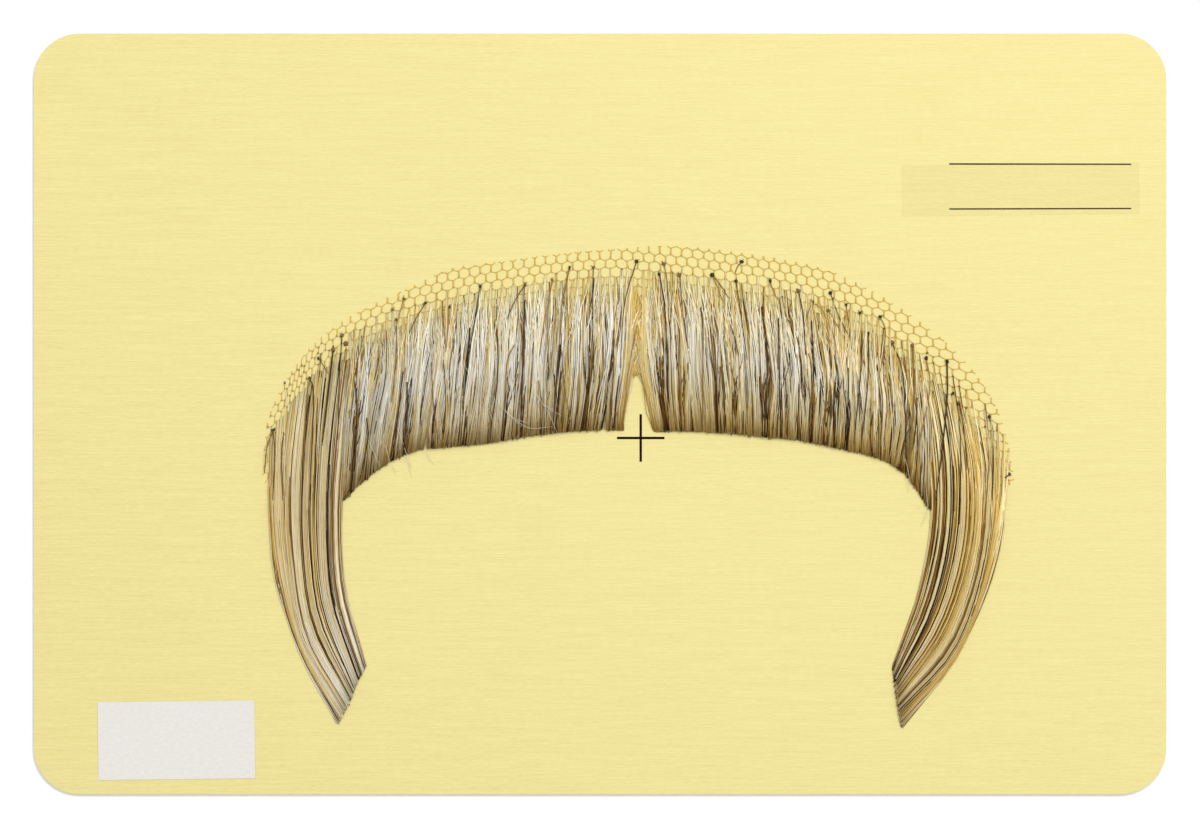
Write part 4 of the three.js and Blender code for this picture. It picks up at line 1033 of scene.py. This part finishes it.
def drop_hair(half, seed):
    """All hairs of one long drop, dealt out evenly across it, each from a knot near its own share."""
    field = drop[half]
    r = np.random.default_rng(seed)
    knots, shares = knots_of(field, net_knots, 0.26, 0.4, 2.3)
    n = 1900
    tip_u = -0.035 + 1.033 * (np.arange(n) + r.uniform(0, 1, n)) / n
    choice = np.abs(shares[None, :, 0] - tip_u[:, None]) + r.uniform(0, 0.07, (n, len(knots))) + np.where(shares[None, :, 1] < 0.004, 0.03, 0.0)
    which = choice.argmin(1)
    at, root_u, root_s = knots[which] + r.normal(0, 0.06, (n, 2)), shares[which, 0], shares[which, 1]
    tip_s = 1.0 + r.normal(0, 0.0022, n) - np.abs(r.normal(0, 0.003, n))
    tip_s = np.where(r.uniform(0, 1, n) < 0.03, r.uniform(0.75, 0.99, n), tip_s)
    s, u, path = comb(field, at, root_u, root_s, tip_u, tip_s, 14, 0.06, r, pace=0.9)
    # the innermost hairs lie under the lip hair's outer end, and stop at the drop's own edge further down
    home = field.at(np.clip(u, 0, None), s) - field.at(u, s)
    path = path + home * ease((s - 0.3) / 0.2)[..., None]
    edges, lots = ribbons(DROP_WIDE, 0.2, 0.7, seed + 1)
    own = np.clip(np.searchsorted(edges, tip_u) - 1, 0, len(edges) - 2)
    middle, reach = (edges[own] + edges[own + 1]) / 2, (edges[own + 1] - edges[own]) / 2
    from_middle = np.clip((tip_u - middle) / reach, -1, 1)
    level = layer(s, root_s, 0.26)
    level = np.clip(level * r.uniform(0.92, 1.03, (n, 1)) + 0.015 * r.normal(0, 1, (n, 1)), 0.0, 1.02)
    side_edge = EDGE_DEPTH + (1 - EDGE_DEPTH) * ease(np.clip(np.minimum(u, 1 - u), 0, 1) / 0.18)
    dip = 0.18 * (from_middle**2)[:, None] * ease((s - 0.1) / 0.5)
    fine, narrow = wander(tip_u * DROP_WIDE, 0.16, 51), wander(tip_u * DROP_WIDE, 0.5, 52)
    # painted shade: hair near a ribbon's edges is more often brown or dark, standing in for the shade where ribbons
    # meet
    edge = np.abs(from_middle) ** 3
    golden = 1.0 if half == "right" else 0.0
    outward = (1 - golden) * (tip_u - 0.45)
    silver = 1.3 + 0.3 * narrow - 0.2 * golden - 1.1 * outward
    grey = 0.55 + 0.2 * fine - 0.9 * outward
    tan = 0.7 - 0.2 * narrow + 0.3 * golden + 1.5 * outward
    gold = 0.02 + 0.04 * np.maximum(fine, 0) + 0.05 * golden + 0.6 * np.maximum(outward, 0)
    brown = (0.12 + 0.15 * np.maximum(-fine, 0) + 0.25 * edge) * np.clip(1 - 1.3 * outward, 0.35, 1.6)
    dark = (0.03 + 0.08 * np.maximum(-narrow, 0) + 0.08 * edge) * np.clip(1 - 1.8 * outward, 0.3, 1.8)
    weights = np.maximum(np.stack([silver, grey, tan, gold, brown, dark], 1), 0.01)
    tone = tone_of(weights, lots[own, 0], 0.15, r)
    for streak in STREAKS[half]:
        mine = (np.abs(tip_u - streak["at"]) < streak["wide"] / 2) & (r.uniform(0, 1, n) < streak["share"])
        tone = np.where(mine, TONE_NAMES.index(streak["tone"]), tone)
    low_at_root = (tone >= TONE_NAMES.index("brown")) & (r.uniform(0, 1, n) < 0.8)
    level = np.where(low_at_root[:, None], level * ease((s - r.uniform(0.03, 0.32, (n, 1))) / 0.12), level)
    z = HAIR_UNDER + 0.05 + field.lift(s) + (field.depth(u, s) - 0.1) * level * (1 - dip) * (1 + (side_edge - 1) * ease(s / 0.5))
    radius = 0.060 * r.uniform(0.8, 1.2, (n, 1)) * np.ones((1, s.shape[1]))
    v = 0.02 + 0.95 * np.clip(0.9 * s + 0.1 * r.uniform(0, 1, (n, 1)), 0, 1)
    return np.concatenate([path, z[..., None]], 2), radius, columns_for(tone), v, root_s, knots


LIP_LOOK = {h: hair_material(f"grey_hair_over_{h}_lip", 0.32, TINT_AND_PAINTED_LIGHT[f"lip_{h}"]) for h in ("left", "right")}
DROP_LOOK = {h: hair_material(f"grey_hair_of_{h}_drop", 0.32, TINT_AND_PAINTED_LIGHT[f"drop_{h}"]) for h in ("left", "right")}

knot_places = []
for side, seed in (("left", 100), ("right", 200)):
    points, radius, column, v, root_s, knots = lip_hair(side, seed)
    upper = root_s < np.median(root_s)
    for name, mine in (("upper", upper), ("lower", ~upper)):
        verts, quads, tris, uv = tubes(points[mine], radius[mine], column[mine], COLUMNS, v[mine])
        piece = build(f"lip_hair_{side}_{name}_rows", verts, quads, tris, LIP_LOOK[side], uv)
        if name == "upper":
            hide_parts(f"hair_{side}")
    knot_places.append(knots)
    points, radius, column, v, root_s, knots = drop_hair(side, seed + 50)
    verts, quads, tris, uv = tubes(points, radius, column, COLUMNS, v)
    piece = build(f"drop_hair_{side}", verts, quads, tris, DROP_LOOK[side], uv)
    knot_places.append(knots)


# ---- Single hairs that stand out, and pale strays ----------------------------------------------
def height_at(points, over):
    """How high the hair reaches at points (N, 2) of the card, by the nearest tuft."""
    best, z = np.full(len(points), 9.0), np.full(len(points), HAIR_UNDER + ON_LACE)
    for half in ("left", "right"):
        for field in (lip[half], drop[half]):
            share, off = field.find(points)
            top = field.lift(share[:, 1]) + field.depth(share[:, 0], share[:, 1]) * ease(share[:, 1] / 0.06 + 0.2)
            nearer = off < best
            best, z = np.where(nearer, off, best), np.where(nearer, HAIR_UNDER + top * (1 - 0.9 * ease((off - 0.2) / 1.2)), z)
    return z + over


def loose_hairs(name, table, over, column, wide, dive):
    """Single hairs through three points each, laid over the rest; dive: how far the last part sinks in."""
    t = np.linspace(0, 2, 14)
    made = []
    for row in table:
        path = through(np.array([row["from"], row["by"], row["to"]]), t)
        z = height_at(path, over)
        z = np.convolve(np.pad(z, 1, "edge"), [0.25, 0.5, 0.25], "valid")
        made.append(np.concatenate([path, (z - dive * ease((t - 1.5) / 0.5))[:, None]], 1))
    points = np.array(made)
    radius = 0.5 * wide[:, None] * (1 - 0.45 * ease((t - 1.6) / 0.4))[None]
    v = np.broadcast_to(0.25 + 0.25 * t[None] / 2, (len(points), len(t)))
    verts, quads, tris, uv = tubes(points, radius, column, COLUMNS, v)
    return build(name, verts, quads, tris, LIP_LOOK["left"], uv)


r = np.random.default_rng(61)
single_tone = np.array([COLUMN[row["tone"]][r.integers(0, 3)] for row in SINGLES])
single_wide = np.array([SINGLE_WIDE[row["wide"]] for row in SINGLES]) / 0.87
loose_hairs("single_hairs", SINGLES, 0.20, single_tone, single_wide, 0.2)
loose_hairs("stray_hairs", STRAYS, 0.12, np.full(len(STRAYS), COLUMN["grey"][0]), np.full(len(STRAYS), 0.05), 0.0)


# ---- Knots -------------------------------------------------------------------------------------
def beads(centres, size, column, columns, seed):
    """Small uneven balls, as joined closed meshes."""
    r = np.random.default_rng(seed)
    rings, around = 3, 6
    theta = np.pi * np.arange(1, rings + 1) / (rings + 1)
    phi = 2 * np.pi * np.arange(around) / around
    ball = [(0, 0, 1)] + [(math.sin(a) * math.cos(b), math.sin(a) * math.sin(b), math.cos(a)) for a in theta for b in phi] + [(0, 0, -1)]
    ball = np.array(ball)
    m = len(ball)
    quads = [[1 + i * around + j, 1 + (i + 1) * around + j, 1 + (i + 1) * around + (j + 1) % around, 1 + i * around + (j + 1) % around] for i in range(rings - 1) for j in range(around)]
    tris = [[0, 1 + j, 1 + (j + 1) % around] for j in range(around)] + [[m - 1, 1 + (rings - 1) * around + (j + 1) % around, 1 + (rings - 1) * around + j] for j in range(around)]
    n = len(centres)
    shape = ball[None] * size[:, None, None] * r.uniform(0.75, 1.25, (n, m, 1)) * r.uniform(0.8, 1.25, (n, 1, 3))
    verts = (centres[:, None] + shape).reshape(-1, 3)
    verts[:, 2] = np.maximum(verts[:, 2], LACE_UNDER - 0.03)  # flat where they would dip into the card
    shift = (np.arange(n) * m)[:, None, None]
    q = (np.array(quads)[None] + shift).reshape(-1, 4)
    t = (np.array(tris)[None] + shift).reshape(-1, 3)
    flat_uv = np.stack([0.5 + 0.42 * ball[:, 0], 0.5 + 0.42 * ball[:, 1]], 1)
    corners = np.concatenate([np.tile(flat_uv[np.array(quads)].reshape(-1, 2), (n, 1)), np.tile(flat_uv[np.array(tris)].reshape(-1, 2), (n, 1))])
    own = np.concatenate([np.repeat(column, 4 * len(quads)), np.repeat(column, 3 * len(tris))])
    spot = r.uniform(0, 1, n)
    high = np.concatenate([np.repeat(spot, 4 * len(quads)), np.repeat(spot, 3 * len(tris))])
    uv = np.stack([(own + 0.1 + 0.8 * corners[:, 0]) / columns, 0.04 + 0.8 * high + 0.1 * corners[:, 1]], 1)
    return verts, q, t, uv


def lip_or_net_top(place):
    """Whether a place lies in the upper part of the net, where knots can be seen."""
    shares = [field.find(np.array([place])) for field in (*lip.values(), *drop.values())]
    (share, off) = min(shares, key=lambda found: found[1][0])
    return off[0] > 0.2 or share[0, 1] < 0.22


KNOT_LOOK = knot_material()
places = np.unique(np.round(np.concatenate(knot_places), 3), axis=0)
r = np.random.default_rng(71)
knot_z = LACE_UNDER + 0.16 + r.uniform(0, 0.06, len(places))
light = beads(np.concatenate([places, knot_z[:, None]], 1), r.uniform(0.09, 0.16, len(places)), r.choice(3, len(places), p=[0.45, 0.35, 0.2]), 4, 72)
# the knots of the single hairs, and a few more dark ones in the upper rows
free = [row for row in SINGLES if row["from"][1] > -9 and lip_or_net_top(row["from"])]
dark_at = np.array([row["from"] for row in free] + [tuple(p) for p in places[r.choice(len(places), 26, replace=False)]])
dark_z = np.full(len(dark_at), LACE_UNDER + LACE_THICK + 0.10)
dark = beads(np.concatenate([dark_at, dark_z[:, None]], 1), r.uniform(0.19, 0.29, len(dark_at)), np.where(r.uniform(0, 1, len(dark_at)) < 0.6, 3, 2), 4, 74)
# short ends that stick out of the dark knots
whisker = np.repeat(np.arange(len(dark_at)), 3)
turn = r.uniform(0.15 * np.pi, 0.85 * np.pi, len(whisker)) + np.where(r.uniform(0, 1, len(whisker)) < 0.25, np.pi, 0)
stick = r.uniform(0.2, 0.5, len(whisker))
base = np.concatenate([dark_at, dark_z[:, None]], 1)[whisker]
tip = base + np.stack([np.cos(turn) * stick, np.sin(turn) * stick, 0.35 * stick], 1)
line = base[:, None] + (tip - base)[:, None] * np.linspace(0, 1, 3)[None, :, None]
ends = tubes(line, np.full((len(line), 3), 0.04), np.full(len(line), 3), 4, np.broadcast_to(np.array([[0.3, 0.4, 0.5]]), (len(line), 3)))
verts, quads, tris, uv = joined([light, dark, ends])
build("hair_knots", verts, quads, tris, KNOT_LOOK, uv)

# ---- Floor, light and camera -------------------------------------------------------------------
floor_mesh = bpy.data.meshes.new("floor")
floor_mesh.from_pydata([(-2, -2, -0.0004), (2, -2, -0.0004), (2, 2, -0.0004), (-2, 2, -0.0004)], [], [(0, 1, 2, 3)])
floor = bpy.data.objects.new("floor", floor_mesh)
bpy.context.scene.collection.objects.link(floor)
n = Nodes("pale_floor")
n.shade(Base_Color=(0.985, 0.985, 0.985, 1.0), Roughness=0.9)
floor_mesh.materials.append(n.material)

scene = bpy.context.scene
scene.view_settings.view_transform = "Standard"
world = bpy.data.worlds.new("studio")
world.use_nodes = True
world.node_tree.nodes["Background"].inputs["Color"].default_value = (1.0, 1.0, 1.0, 1.0)
world.node_tree.nodes["Background"].inputs["Strength"].default_value = 0.40
scene.world = world


def softbox(name, place, target, size, power):
    lamp = bpy.data.lights.new(name, "AREA")
    lamp.shape = "RECTANGLE"
    lamp.size, lamp.size_y = size
    lamp.energy = power
    made = bpy.data.objects.new(name, lamp)
    made.location = place
    aim = np.array(target, float) - np.array(place, float)
    from mathutils import Vector

    made.rotation_euler = Vector(aim).to_track_quat("-Z", "Y").to_euler()
    scene.collection.objects.link(made)
    return made


softbox("overhead", (0.1, 0.3, 2.2), (0, 0, 0), (1.8, 1.8), 26.4)
softbox("key", (0.55, 0.7, 2.1), (0, 0, 0), (1.0, 1.0), 15.1)

camera_data = bpy.data.cameras.new("camera")
camera = bpy.data.objects.new("camera", camera_data)
HEIGHT = 0.9
FRAME_WIDTH = 1200 * 0.13459 * MM
camera_data.sensor_width = 36.0
camera_data.lens = 36.0 * HEIGHT / FRAME_WIDTH
camera.location = (0.0, 0.0, HEIGHT + CARD_TOP * MM)
camera.rotation_euler = (0.0, 0.0, 0.0)
scene.collection.objects.link(camera)
scene.camera = camera
